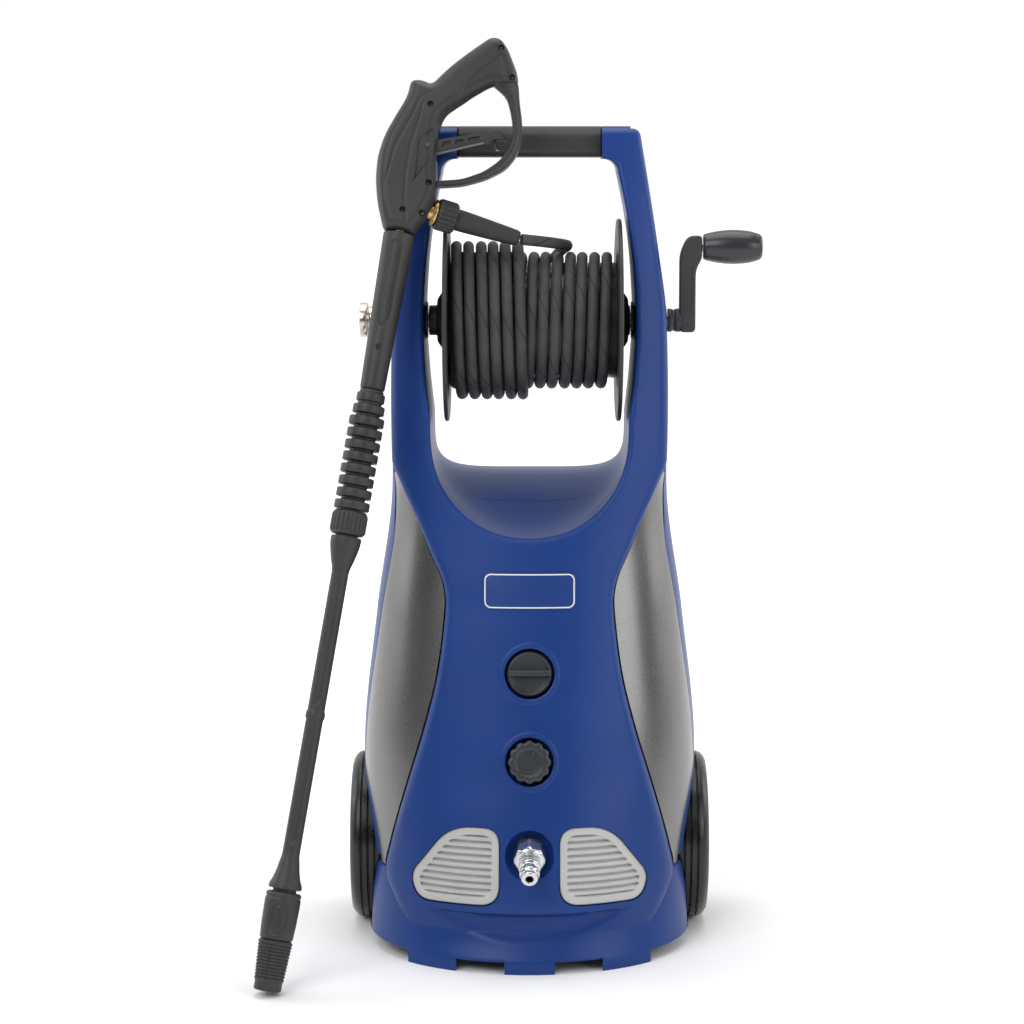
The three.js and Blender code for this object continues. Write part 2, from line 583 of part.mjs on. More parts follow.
function casing() {
  part('front_cover', frontCover(), BLUE);
  part('rear_cover', rearCover(), BLUE);
  part('side_panel_left', sidePanel(-1), GREY);
  part('side_panel_right', sidePanel(1), GREY);
  part('vent_grille_left', vent(-1), SILVER);
  part('vent_grille_right', vent(1), SILVER);
  part('base_tray', baseTray(), BLACK);
  const gripHole = solid(rod('x', GRIP.bore, 400, at(0, GRIP.y, GRIP.z), { sides: 20 }));
  part('handle_grip', solid(barBlock(0, 2 * GRIP.half, GRIP.deep, GRIP.high)).subtract(gripHole), BLACK);
  part('handle_tube', solid(rod('x', GRIP.tube, 200, at(0, GRIP.y, GRIP.z), { sides: 20 })), STEEL);
  const badge = new THREE.Shape();
  badge.moveTo(-BADGE.half + 5, BADGE.z - BADGE.high / 2);
  for (const [x, z] of [[1, -1], [1, 1], [-1, 1], [-1, -1]]) {
    const corner = [x * BADGE.half, BADGE.z + (z * BADGE.high) / 2];
    const before = x * z < 0 ? [corner[0] - 5 * x, corner[1]] : [corner[0], corner[1] - 5 * z];
    const after = x * z < 0 ? [corner[0], corner[1] - 5 * z] : [corner[0] - 5 * x, corner[1]];
    badge.lineTo(...before);
    badge.quadraticCurveTo(...corner, ...after);
  }
  const layer = faceSolid(0, 0, 450, -1.6).subtract(faceSolid(0, 0, 450, -GAP));
  part('badge', solid(slabY(badge, -40, 150, 3)).intersect(layer), SILVER);
  const gland = turned('y', [[0, 0], [9, 0], [9, 19.5], [13, 19.5], [13, 24], [10, 27], [8, 40], [0, 40], [0, 0]],
    at(CABLE.x, CABLE.y, CABLE.z), 20);
  part('cable_gland', solid(gland), RUBBER);
}

// ---------------------------------------------------------------- controls and water connection

function controls() {
  const bar = solid(box(2 * SWITCH.r - 5, 13, 9, at(0, 0.5, 0)));
  const disc = solid(turned('y', [[0, 3], [SWITCH.r - 1.5, 3], [SWITCH.r, 5], [SWITCH.r, 12], [5.8, 12], [5.8, 27],
    [0, 27], [0, 3]], at(0, 0, 0), 28));
  part('switch_knob', seatedSolid(union(disc, bar), SWITCH.z), BLACK);
  const house = solid(box(46, 32, 54, at(0, 36, 0))).subtract(solid(rod('y', 6.4, 24, at(0, 20, 0), { sides: 20 })));
  part('switch_housing', seatedSolid(house, SWITCH.z), BLACK);

  const lobes = new THREE.Shape();
  const steps = 48;
  for (let i = 0; i < steps; i++) {
    const a = (i / steps) * 2 * Math.PI;
    const r = VALVE_KNOB.r - 1.3 + 1.3 * Math.cos(12 * a);
    if (i === 0) lobes.moveTo(r, 0);
    else lobes.lineTo(r * Math.cos(a), r * Math.sin(a));
  }
  const grip = solid(slabY(lobes, -7, 12));
  const dish = solid(rod('y', 15, 4, at(0, -7, 0)));
  const stem = solid(rod('y', 5.8, 20, at(0, 21.8, 0), { sides: 20 }));
  part('pressure_knob', seatedSolid(union(grip.subtract(dish), stem), VALVE_KNOB.z), BLACK);
  const valve = solid(box(34, 26, 40, at(0, 35, 0))).subtract(solid(rod('y', 6.4, 24, at(0, 20, 0), { sides: 20 })));
  part('unloader_valve', seatedSolid(valve, VALVE_KNOB.z), BRASS);

  const mouth = onFace(INLET.z);
  const body = turned('y', [[5, 20], [14.5, 20], [14.5, 60], [5, 60], [5, 20]], at(0, 0, 0), 24);
  part('inlet_body', solid(body.translate(mouth.x, mouth.y, mouth.z)), BRASS);
  const collar = solid(rod('y', 17.5, 17, at(0, -4.5, 0), { sides: 8 }))
    .add(solid(rod('y', 15.2, 22, at(0, -5, 0), { sides: 24 })))
    .subtract(solid(rod('y', 9.9, 60, at(0, 0, 0), { sides: 24 })));
  part('inlet_nut', dipped(collar), CHROME);
  const stub = turned('y', [[4, 4], [9.4, 4], [9.4, -22], [11.5, -24], [11.5, -27], [9.2, -29], [9.2, -33],
    [10.6, -35], [10.6, -38], [8.6, -41], [8.6, -46], [4, -46], [4, 4]], at(0, 0, 0), 24);
  part('inlet_stub', dipped(solid(stub)), CHROME);
}

/** A solid about the Y axis, moved onto the face at height z and leaned with it. */
function seatedSolid(body, z) {
  const place = onFace(z);
  return body.rotate([-THREE.MathUtils.radToDeg(WELL.lean), 0, 0]).translate([place.x, place.y, place.z]);
}

/** A solid about the Y axis, set in the inlet recess and dipped towards the floor. */
function dipped(body) {
  const place = onFace(INLET.z, 2);
  return body.rotate([INLET.dip, 0, 0]).translate([place.x, place.y, place.z]);
}

// ---------------------------------------------------------------- motor, pump and pipes

function pipe(points, radius, sides = 10, steps = 16) {
  const circle = new THREE.Shape();
  for (let i = 0; i < sides; i++) {
    const a = (i / sides) * 2 * Math.PI;
    if (i === 0) circle.moveTo(radius, 0);
    else circle.lineTo(radius * Math.cos(a), radius * Math.sin(a));
  }
  const extrudePath = new THREE.CatmullRomCurve3(points, false, 'centripetal');
  return new THREE.ExtrudeGeometry(circle, { steps, extrudePath, bevelEnabled: false });
}

function drive() {
  const { x, y, pump, pumpZ, pumpTop, motor, motorTop, fanTop, shaft } = DRIVE;
  const axis = at(x, y, 0);
  const bore = 12;
  const floor = pumpTop - 30;
  const well = solid(turned('z', [[0, floor], [pump - 8, floor], [pump - 8, pumpTop + 1], [0, pumpTop + 1], [0, floor]], axis));
  const block = solid(turned('z', [[0, pumpZ], [pump - 6, pumpZ], [pump, pumpZ + 6], [pump, pumpTop], [0, pumpTop],
    [0, pumpZ]], axis, 24));
  part('pump_body', block.subtract(well), CAST);
  const plate = [[0, floor + 10.5], [30, floor + 10.5], [34, floor + 13], [34, floor + 19], [bore, floor + 24],
    [0, floor + 24], [0, floor + 10.5]];
  part('swash_plate', solid(turned('z', plate, axis)), STEEL);
  const m0 = pumpTop + GAP;
  const wall = motor - 24;
  const house = [[wall, m0 + 8], [wall, motorTop], [motor, motorTop], [motor, m0], [shaft + 1, m0],
    [shaft + 1, m0 + 8], [wall, m0 + 8]];
  part('motor_housing', solid(turned('z', house, axis, 24)), CAST);
  const rotor = [[0, floor + 24.4], [shaft, floor + 24.4], [shaft, m0 + 20], [35, m0 + 20], [35, motorTop - 18],
    [shaft, motorTop - 18], [shaft, fanTop - 8], [0, fanTop - 8], [0, floor + 24.4]];
  part('motor_rotor', solid(turned('z', rotor, axis)), STEEL);
  let fan = solid(turned('z', [[shaft + 0.3, motorTop + 3], [13, motorTop + 3], [13, fanTop - 9], [shaft + 0.3, fanTop - 9],
    [shaft + 0.3, motorTop + 3]], axis, 20));
  for (let i = 0; i < 6; i++) {
    const blade = solid(box(38, 2.4, 15, at(30, 0, 0)).rotateX(0.5));
    fan = fan.add(blade.rotate([0, 0, 60 * i]).translate([x, y, motorTop + 12]));
  }
  part('motor_fan', fan, BLACK);
  const pipeY = along(FACE, 'front', INLET.z) + 60 + GAP;
  part('inlet_pipe', solid(pipe([at(0, pipeY, INLET.z), at(0, pipeY + 3, INLET.z), at(0, pipeY + 9, INLET.z - 8),
    at(0, pipeY + 10, 72), at(0, pipeY + 13, 54), at(0, y - pump - 2, 50), at(0, y - pump - GAP, 50)], 5, 10, 16)), STEEL);
  part('pressure_pipe', solid(pipe([at(28, 72, 214), at(40, 74, 212), at(50, 80, 200), at(52, 96, 110), at(50, 100, 70),
    at(40, 112, 60)], 5, 10, 14)), STEEL);
}

// ---------------------------------------------------------------- wheels

function wheels() {
  part('wheel_axle', solid(rod('x', WHEEL.axle, 2 * (WHEEL.x + 14), at(0, WHEEL.y, WHEEL.r), { sides: 20 })), STEEL);
  for (const side of [-1, 1]) {
    const name = side < 0 ? 'left' : 'right';
    const hub = at(side * WHEEL.x, WHEEL.y, WHEEL.r);
    const w = WHEEL.width / 2;
    const { r, rim } = WHEEL;
    const tread = [[rim, -w + 4], [r - 8, -w], [r - 1, -w + 4], [r, -w + 9], [r, w - 9], [r - 1, w - 4], [r - 8, w],
      [rim, w - 4], [rim, -w + 4]];
    part(`tyre_${name}`, solid(turned('x', tread, hub, 30)), TYRE);
    const disc = [[WHEEL.axle + RUN, -16], [WHEEL.hub, -16], [WHEEL.hub, -4], [rim - 8, -4], [rim - 8, -w + 4],
      [rim - GAP, -w + 4], [rim - GAP, w - 4], [rim - 8, w - 4], [rim - 8, 4], [WHEEL.hub, 4], [WHEEL.hub, 12],
      [WHEEL.axle + RUN, 12], [WHEEL.axle + RUN, -16]];
    const placed = disc.map(([a, b]) => [a, side * b]);
    part(`wheel_${name}`, solid(turned('x', placed, hub, 24)), BLACK);
    const cap = [[0, 14.5], [WHEEL.hub - 2, 14.5], [WHEEL.hub - 2, 17], [11, 20.5], [0, 21.5], [0, 14.5]];
    const capSide = cap.map(([a, b]) => [a, side * b]);
    part(`hub_cap_${name}`, solid(turned('x', capSide, hub, 20)), BLACK);
  }
}

// ---------------------------------------------------------------- hose reel and crank

function reel() {
  const axis = at(0, REEL.y, REEL.z);
  const x0 = REEL.x - REEL.width / 2;
  const x1 = REEL.x + REEL.width / 2;
  part('reel_axle', solid(rod('x', REEL.axle, 296, at(9, REEL.y, REEL.z), { bore: REEL.axleBore, sides: 24 })), STEEL);
  part('reel_drum', solid(rod('x', REEL.core, REEL.width - 2 * GAP, at(REEL.x, REEL.y, REEL.z),
    { bore: REEL.core - REEL.coreWall, sides: 30 })), BLACK);
  for (const [name, inner, out] of [['left', x0, -1], ['right', x1, 1]]) {
    const t = REEL.flangeT;
    const profile = [[REEL.axle + 0.3, 0], [REEL.flange, 0], [REEL.flange, t], [44, t], [REEL.hub + 6, t + 3],
      [REEL.hub, t + 8], [REEL.axle + 0.3, t + 8], [REEL.axle + 0.3, 0]];
    const placed = profile.map(([a, b]) => [a, inner + out * b]);
    part(`reel_flange_${name}`, solid(turned('x', placed, axis, 32)), BLACK);
    const bush = [[REEL.axle + RUN, REEL.armIn - 3], [REEL.bushFlange, REEL.armIn - 3], [REEL.bushFlange, REEL.armIn - 0.6],
      [REEL.bush, REEL.armIn - 0.6], [REEL.bush, REEL.armOut + 0.6], [REEL.axle + RUN, REEL.armOut + 0.6],
      [REEL.axle + RUN, REEL.armIn - 3]].map(([a, b]) => [a, out * b]);
    part(`reel_bush_${name}`, solid(turned('x', bush, axis, 24)), BLACK);
  }
  const inner = REEL.core + GAP;
  const first = REEL.core + HOSE.d;
  const second = first + HOSE.d;
  const split = x0 + HOSE.secondTurns * HOSE.pitch;
  const coil = [[inner, x0 + GAP], [second - 3, x0 + GAP], [second, x0 + 5], [second, split - 4], [second - 4, split],
    [first, split + 1], [first, x1 - 4], [first - 4, x1 - GAP], [inner, x1 - GAP], [inner, x0 + GAP]];
  part('hose_coil', solid(turned('x', coil, axis, 30)), RUBBER);
  part('hose_lead', solid(pipe(HOSE_LEAD.map((p) => at(...p)), HOSE.d / 2, 10, 16)), RUBBER);

  const swivel = [[0, -100], [REEL.axleBore - RUN, -100], [REEL.axleBore - RUN, -146.6], [17, -146.6], [17, -151],
    [11, -153], [11, -159], [22.5, -160], [22.5, -165], [15, -167], [15, -172], [19, -173], [19, -181], [9, -181],
    [9, -170], [0, -170], [0, -100]];
  part('reel_swivel', solid(turned('x', swivel, axis, 20)), CHROME);

  const hub = solid(rod('x', CRANK.hub, CRANK.armX - CRANK.hubX + 2, at((CRANK.armX + CRANK.hubX) / 2 + 1, REEL.y, REEL.z),
    { bore: REEL.axle + 0.3, sides: 28 }));
  const a = CRANK.armX;
  const b = CRANK.armX + CRANK.armT;
  const low = REEL.z - CRANK.hub;
  const high = REEL.z + CRANK.reach;
  const shape = new THREE.Shape();
  [[a, low], [b, low], [b + 0.5, high - 20], [b + 3, high - 13], [b + 6.5, high - 12], [b + 6.5, high + 12],
    [a + 8, high + 12], [a + 2, high + 7]].forEach(([x, z], i) => (i ? shape.lineTo(x, z) : shape.moveTo(x, z)));
  const arm = solid(slabY(shape, REEL.y - CRANK.deep / 2, REEL.y + CRANK.deep / 2))
    .subtract(solid(rod('x', CRANK.spindle + 0.3, 24, at(b + 6, REEL.y, high), { sides: 16 })));
  part('crank_arm', arm.add(hub), BLACK);
  const end = CRANK.knobX + CRANK.knob;
  part('crank_spindle', solid(rod('x', CRANK.spindle, end - 4.6 - (b - 4), at((end - 4.6 + b - 4) / 2, REEL.y, high),
    { sides: 16 })), STEEL);
  const hole = CRANK.spindle + RUN;
  const knob = [[hole, 0], [13, 0], [14.5, 3], [17.4, 17], [18.6, 33], [17.2, 49], [14, 60], [11, 63], [0, 63], [0, 59],
    [hole, 59], [hole, 0]].map(([r, h]) => [r, CRANK.knobX + h]);
  part('crank_knob', solid(turned('x', knob, at(0, REEL.y, high), 24)), BLACK);
}

// ---------------------------------------------------------------- spray gun and lance

const gunX = new THREE.Vector3(1, 0, 0).addScaledVector(GUN.up, -GUN.up.x).normalize();
const gunY = new THREE.Vector3().crossVectors(GUN.up, gunX);
const gunFrame = new THREE.Matrix4().makeBasis(gunX, gunY, GUN.up).setPosition(GUN.origin);

const inGun = (body) => geometryOf(body).applyMatrix4(gunFrame);
const flat = (points) => new THREE.Shape(points.map(([x, z]) => new THREE.Vector2(x, z)));
const plateY = (points, half) => solid(slabY(flat(points), -half, half));
const pinY = (radius, length, [x, z], sides = 16) => solid(rod('y', radius, length, at(x, 0, z), { sides }));

/** A lathed body about the hose connection's axis; heights run outwards from the valve. */
function onHose(profile, sides = 24) {
  const turn = new THREE.Quaternion().setFromUnitVectors(at(0, 1, 0), at(...HOSE_AXIS.dir).normalize());
  return solid(turned('y', profile).applyQuaternion(turn).translate(0, 0, HOSE_AXIS.z), sides);
}

const tubeProfile = (bore, outline) =>
  [[bore, outline[0][1]], ...outline, [bore, outline[outline.length - 1][1]], [bore, outline[0][1]]];

/** A lathed body about the lance: [radius, distance up the lance] with a bore. */
const onLance = (bore, outline, sides = 16) => solid(turned('z', tubeProfile(bore, outline), at(0, 0, 0), sides));

function sprayGun() {
  const hands = plateY(GUN_BODY, GUN.thick);
  const guard = plateY([...GUARD_OUT, ...GUARD_IN], GUN.guardThick);
  const valveWell = solid(rod('z', 9.4, 82, at(0, 0, 826)));
  const mouth = union(
    onHose([[0, 0], [8.5, 0], [8.5, 29], [15.2, 29], [15.2, 60], [0, 60], [0, 0]]));
  const slot = plateY([[3, 866], [3, 893], [27, 899], [40, 899], [40, 866]], TRIGGER.thick + 0.6);
  const pins = pinY(TRIGGER.pin + 0.3, 60, TRIGGER.pivot);
  const whole = union(hands, guard).subtract(union(valveWell, mouth, slot, pins));
  const front = solid(box(400, 100, 400, at(0, -50 - GAP / 2, 900)));
  const back = solid(box(400, 100, 400, at(0, 50 + GAP / 2, 900)));
  part('gun_shell_front', inGun(biggest(whole.intersect(front))), BLACK);
  part('gun_shell_back', inGun(biggest(whole.intersect(back))), BLACK);

  const lockSlot = solid(box(22, 2 * LOCK.thick + 0.8, 26, at(81, 0, LOCK.pivot[1] - 8.5)));
  const lever = plateY(TRIGGER.outline, TRIGGER.thick).subtract(lockSlot)
    .subtract(pinY(TRIGGER.pin + 0.3, 60, TRIGGER.pivot)).subtract(solid(box(LOCK.head * 2 + 1, 9, LOCK.head * 2 + 1, at(LOCK.pivot[0], 0, LOCK.pivot[1]))));
  part('trigger', inGun(biggest(lever)), BLACK);
  part('trigger_pin', inGun(pinY(TRIGGER.pin, 2 * GUN.thick, TRIGGER.pivot)), STEEL);
  const [lx, lz] = LOCK.pivot;
  const catchArm = plateY([[lx - 2.6, lz], [lx + 2.9, lz], [LOCK.tip[0] + 1.4, LOCK.tip[1]], [LOCK.tip[0] - 2, LOCK.tip[1]]],
    LOCK.thick);
  const lock = union(catchArm, pinY(LOCK.head, 2 * LOCK.thick, LOCK.pivot), pinY(LOCK.pin, 8.4, LOCK.pivot, 10));
  part('trigger_lock', inGun(lock), BLACK);
  const valve = turned('z', [[0, 786], [9, 786], [9, 856], [2.5, 856], [2.5, 866], [0, 866], [0, 786]], at(0, 0, 0), 20);
  const inlet = onHose([[0, 0], [8, 0], [8, 30.4], [14.4, 30.4], [14.4, 34], [5, 34], [5, 60.4], [0, 60.4], [0, 0]]);
  part('gun_valve', inGun(solid(valve).add(inlet)), BRASS);
  const nut = onHose([[5.6, 34.6], [15.6, 34.6], [16.6, 37], [16.6, 54], [14.5, 56], [5.6, 56], [5.6, 34.6]]);
  part('hose_nut', inGun(nut), BLACK);
  part('strain_relief', inGun(onHose([[0, 60.8], [11.4, 60.8], [11, 72], [7.3, 126], [0, 126], [0, 60.8]])), RUBBER);
}

function lance() {
  const { sleeve, ribTop, sleeveTop, nutTop, pipe: p } = LANCE;
  const bore = p + GAP;
  part('lance_pipe', inGun(onLance(p - 2, [[p, LANCE.bossTop + 1], [p, sleeveTop + 1]], 16)), STEEL);
  part('lance_sleeve', inGun(onLance(bore, [[sleeve[0], ribTop + GAP], [sleeve[1], sleeveTop]])), BLACK);
  const count = 10;
  const pitch = (ribTop - nutTop - 2 * GAP) / count;
  const ribs = [];
  for (let i = 0; i < count; i++) {
    const z = nutTop + GAP + pitch * i;
    const r = i === count - 1 ? 14.6 : i === count - 2 ? 16.4 : 18.2;
    ribs.push([r, z], [r, z + pitch * 0.7], [12.4, z + pitch * 0.7], [12.4, z + pitch]);
  }
  part('lance_grip', inGun(onLance(bore, ribs, 10)), BLACK);
  const n = LANCE.nut;
  part('lance_nut', inGun(onLance(bore, [[n - 2.5, nutTop - 26], [n, nutTop - 22], [n, nutTop - 6], [n - 2.5, nutTop - 1]])), BLACK);
  const { tube, bell, bossEnd, bossTop, bellTop, neck } = LANCE;
  part('lance_tube', inGun(onLance(3, [[10, neck], [bell, neck + 0.4], [bell - 1, neck + 7], [tube + 1.5, bellTop - 7],
    [tube, bellTop], [tube, bossEnd], [tube + 3, bossEnd + 9], [bell - 2, bossTop - 8], [bell - 1, bossTop]])), BLACK);
  const { head, headEnd, tip } = NOZZLE;
  const slit = LANCE.slit;
  part('nozzle_head', inGun(onLance(6.4, [[head - 1.4, headEnd], [head, headEnd + 34], [head, slit - 2], [head - 2, slit]])), BLACK);
  const cuffs = [];
  cuffs.push([tip - 1, 0], [tip, 1.2], [tip, 10]);
  for (let i = 0; i < NOZZLE.ribs; i++) {
    const z = 12 + 6 * i;
    const r = tip + 0.4 + 0.45 * i;
    cuffs.push([r + 1, z], [r + 1, z + 3.4], [r, z + 3.6]);
  }
  cuffs.push([head - 1.6, headEnd - GAP]);
  part('nozzle_sleeve', inGun(onLance(6.4, cuffs, 14)), BLACK);
  part('nozzle_jet', inGun(onLance(1.2, [[6, 3], [6, slit]], 16)), BRASS);
}

casing();
controls();
drive();
wheels();
reel();
sprayGun();
lance();

export default washer;
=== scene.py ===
"""Pressure washer with a built-in hose reel: the visible surfaces and finishes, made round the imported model."""

import math

import bmesh
import bpy
import numpy as np
from bpy.props import FloatProperty, FloatVectorProperty, IntProperty, PointerProperty
from mathutils import Matrix, Vector
from mathutils.geometry import delaunay_2d_cdt


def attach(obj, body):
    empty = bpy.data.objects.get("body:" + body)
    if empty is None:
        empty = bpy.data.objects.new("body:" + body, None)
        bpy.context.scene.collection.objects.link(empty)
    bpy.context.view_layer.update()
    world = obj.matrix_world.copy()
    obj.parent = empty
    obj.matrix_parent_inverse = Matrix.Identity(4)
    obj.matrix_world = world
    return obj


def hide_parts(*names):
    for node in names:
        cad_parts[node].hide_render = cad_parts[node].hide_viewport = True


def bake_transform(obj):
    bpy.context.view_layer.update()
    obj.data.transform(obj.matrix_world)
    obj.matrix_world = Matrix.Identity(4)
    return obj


bl_info = {
    "name": "Pressure washer",
    "version": (1, 0, 0),
    "blender": (4, 5, 0),
    "location": "3D View > Sidebar > Washer",
    "description": "Makes the casing, reel, hose, spray gun and lance of an upright pressure washer",
    "category": "Object",
}

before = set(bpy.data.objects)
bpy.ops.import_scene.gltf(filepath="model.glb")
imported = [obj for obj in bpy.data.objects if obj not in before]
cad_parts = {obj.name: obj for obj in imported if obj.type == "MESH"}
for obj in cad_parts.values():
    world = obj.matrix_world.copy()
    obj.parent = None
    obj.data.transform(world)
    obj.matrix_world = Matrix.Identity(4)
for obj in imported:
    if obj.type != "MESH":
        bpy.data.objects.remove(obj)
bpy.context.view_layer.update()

# ---------------------------------------------------------------- sizes, in millimetres

WALL = 3.2
CASE_TOP = 866.0
SKIRT_BACK = 126.0
SAG_HALF, SAG_DEPTH = 172.0, 135.0

# Rear casing by height: half width, front, widest line, back, and squareness of the front half.
CORE = np.array([
    [14, 150, 34, 190, 288, 2.6], [90, 170, 36, 190, 292, 2.6], [200, 180, 52, 205, 294, 2.6],
    [350, 166, 80, 215, 290, 2.6], [480, 149, 104, 220, 282, 2.8], [560, 147, 116, 200, 272, 4.5],
    [666, 145.5, 130, 198, 262, 5], [790, 129, 152, 202, 248, 5], [CASE_TOP, 117, 172, 200, 228, 4],
])
# Front cover by height: half width, front on the centre line, back edge.
FACE = np.array([
    [28, 120, 11, 64], [48, 134, 4, 70], [66, 143, 0, 78], [90, 152, 2.5, 96], [115, 147, 7, 100],
    [153, 137, 15, 104], [197, 124, 26, 108], [243, 110, 36, 110], [300, 96, 49, 108], [343, 90, 58, 110],
    [375, 87.5, 65, 114], [392, 90, 68, 118], [425, 104, 75, 150], [450, 115, 80, 164], [497, 137, 88, 172],
    [520, 145.5, 92, 176], [590, 146.5, 104, 184], [666, 145, 116, 188], [733, 137, 128, 192],
    [790, 128.5, 140, 196], [CASE_TOP, 116.5, 163, 200],
])
FACE_CURVE = np.array([[60, 1], [400, 0.72], [560, 0.5], [CASE_TOP, 0.35]])
# Skirt by height: half width, front, centre of its plan.
SKIRT = np.array([[12, 171, -5.5, 138], [30, 170, 3, 138], [58, 168, 12, 138], [88, 163, 28, 138]])
ARM_INNER = np.array([
    [560, 104], [610, 109], [666, 111.7], [720, 109], [770, 103], [815, 94], [834, 89],
])
WAIST, OPENING_TOP, OPENING_CORNER = 560.0, 834.0, 14.0
PANEL_BOTTOM, PANEL_TOP, PANEL_EDGE = 86.0, 503.0, 158.0
WHEEL_X, WHEEL_Y, WHEEL_R, WHEEL_WIDTH, RIM_R, AXLE_R = 172.0, 225.0, 92.0, 44.0, 70.0, 7.5
WHEEL_LINE = (0, WHEEL_Y, WHEEL_R)
ARCH_R, ARCH_X = 101.0, 147.0
REEL_X, REEL_Y, REEL_Z, REEL_WIDTH = 3.5, 188.0, 663.0, 178.0
REEL_LINE = (0, REEL_Y, REEL_Z)
CORE_R, FLANGE_R, REEL_AXLE_R, BUSH_R = 61.5, 108.0, 8.0, 15.4
HOSE_D, HOSE_PITCH = 11.7, 13.0
HOSE_LEAD = np.array([
    [-8.2, 141.6, 750.3], [8, 147.5, 748.5], [26, 160, 746], [38, 180, 743.5], [40, 202, 741.4],
    [33.5, 222, 735.8], [24, 240, 724.4],
])
SWITCH_Z, SWITCH_R, KNOB_Z, KNOB_R, INLET_Z = 305.0, 23.5, 216.0, 22.3, 124.0
WELLS = ((SWITCH_Z, SWITCH_R), (KNOB_Z, KNOB_R))
WELL_LEAN, WELL_DEPTH, WELL_GAP = math.radians(11.6), 17, 2.6
GLAND = (70, 285.5, 150)
THROUGH = 200
INLET_DIP = math.radians(20)
GRIP_Y, GRIP_Z, GRIP_HALF, GRIP_DEEP = 197.0, 852.0, 75.0, 17.0
CRANK_TOP = REEL_Z + 78
CRANK_LINE = (0, REEL_Y, CRANK_TOP)
VENT_INNER, VENT_OUTER, VENT_TOP, VENT_BOTTOM, VENT_SINK = 31.0, 125.0, 149.0, 70.0, 1.4
BADGE_Z, BADGE_HALF, BADGE_HIGH = 389.0, 48.0, 37.0
FEET = [(-26.0, 26.0), (76.0, 127.0), (-127.0, -76.0)]

GUN_ORIGIN = np.array([-264, -73, 4.6])
GUN_UP = np.array([0.16464, 0.23177, 0.95874])
GUN_BODY = np.array([
    [51, 998], [59.5, 1006], [69.5, 1006], [79, 996], [92.8, 971.7], [96.3, 959], [71, 956.4], [49.8, 938.8],
    [44.4, 933], [27.5, 917.8], [23.2, 905.5], [24, 886], [25, 871], [29, 850], [32.6, 831.4], [29, 818],
    [22.1, 798.5], [18.2, 792], [16.5, 785], [-16.5, 785], [-20, 793], [-28, 813], [-34, 836.7], [-36.2, 861],
    [-33, 884.6], [-24.3, 909], [-16.4, 928.6], [-15.5, 947], [-3.7, 949], [6.6, 945.7], [19.6, 964.4],
    [33.2, 980],
])
GUARD_OUT = np.array([
    [92, 966], [96.3, 959], [100.6, 940], [106.5, 921], [109, 902], [106.5, 885], [97.2, 869], [78.5, 855.5],
    [56, 845.2], [25, 838],
])
GUARD_IN = np.array([
    [25, 844.4], [54, 851], [75, 862.5], [89.6, 877], [97, 891], [98.6, 903], [96.5, 918], [91, 934], [85, 946],
    [72, 954],
])
TRIGGER_LINE = np.array([
    [8, 874], [8, 884], [13, 888], [22, 888.5], [60, 901], [84, 909.5], [90, 907], [93, 899], [88, 901],
    [61, 890.5], [40, 881.5], [25, 875], [16, 870.5],
])
TRIGGER_POCKETS = (
    [[27.5, 880.5], [37, 884.5], [36, 889.4], [29, 887.2]], [[41, 886], [50, 889.8], [49, 893.6], [41, 891]],
    [[54, 891.6], [66, 895.6], [65, 899], [54, 895.6]],
)
TRIGGER_PIVOT, LOCK_PIVOT, LOCK_TIP = (14.0, 879.0), (79.0, 901.0), (86.0, 888.5)
GUN_SCREWS = np.array([
    [71.9, 994.7], [88.3, 965.3], [9.9, 921.9], [21.8, 840.1], [-0.1, 807.6], [19.8, 808],
])
GUN_LEAF = np.array([[17.2, 898.2], [3.4, 883.3], [6.4, 847.8], [5.3, 836.6], [16.8, 858.9], [21.1, 875.3]])
GUN_GRIP_PANEL = np.array([
    [30.4, 928.7], [53.2, 967.2], [72.9, 987.8], [81.5, 964.0], [65.3, 951.3], [48.8, 930.3], [36.2, 922.8],
])
GUN_SEAM = np.array([[2.2, 922.4], [0.9, 903.3], [-3.4, 874.3], [-3.2, 846.2], [-0.5, 821.6], [6.2, 791.5]])
GUN_SPINE = np.array([
    [14.9, 938.7], [-1.2, 928.1], [-7.6, 905.4], [-18.8, 872.1], [-23.0, 832.5], [-16.7, 803.4], [-10.6, 788.5],
])
HOSE_AXIS_Z, HOSE_DIR = 817.0, np.array([0.95, 0.25, -0.08])


# ---------------------------------------------------------------- curves and profiles


def along(table, column, z):
    """A table's column at heights z: cubic pieces whose slope at each row is the harmonic mean of its neighbours'."""
    x, y = table[:, 0], table[:, column]
    z = np.clip(z, x[0], x[-1])
    slope = np.diff(y) / np.diff(x)
    a, b = slope[:-1], slope[1:]
    inner = np.where(a * b > 0, 2 * a * b / np.where(a * b > 0, a + b, 1), 0.0)
    tangent = np.concatenate([slope[:1], inner, slope[-1:]])
    i = np.clip(np.searchsorted(x, z) - 1, 0, len(x) - 2)
    span = x[i + 1] - x[i]
    t = (z - x[i]) / span
    start = (2 * t**3 - 3 * t**2 + 1) * y[i] + (t**3 - 2 * t**2 + t) * span * tangent[i]
    return start + (3 * t**2 - 2 * t**3) * y[i + 1] + (t**3 - t**2) * span * tangent[i + 1]


def smoothstep(x, low, high):
    """0 below low, 1 above high, and 3t^2 - 2t^3 between."""
    t = np.clip((x - low) / (high - low), 0, 1)
    return t * t * (3 - 2 * t)


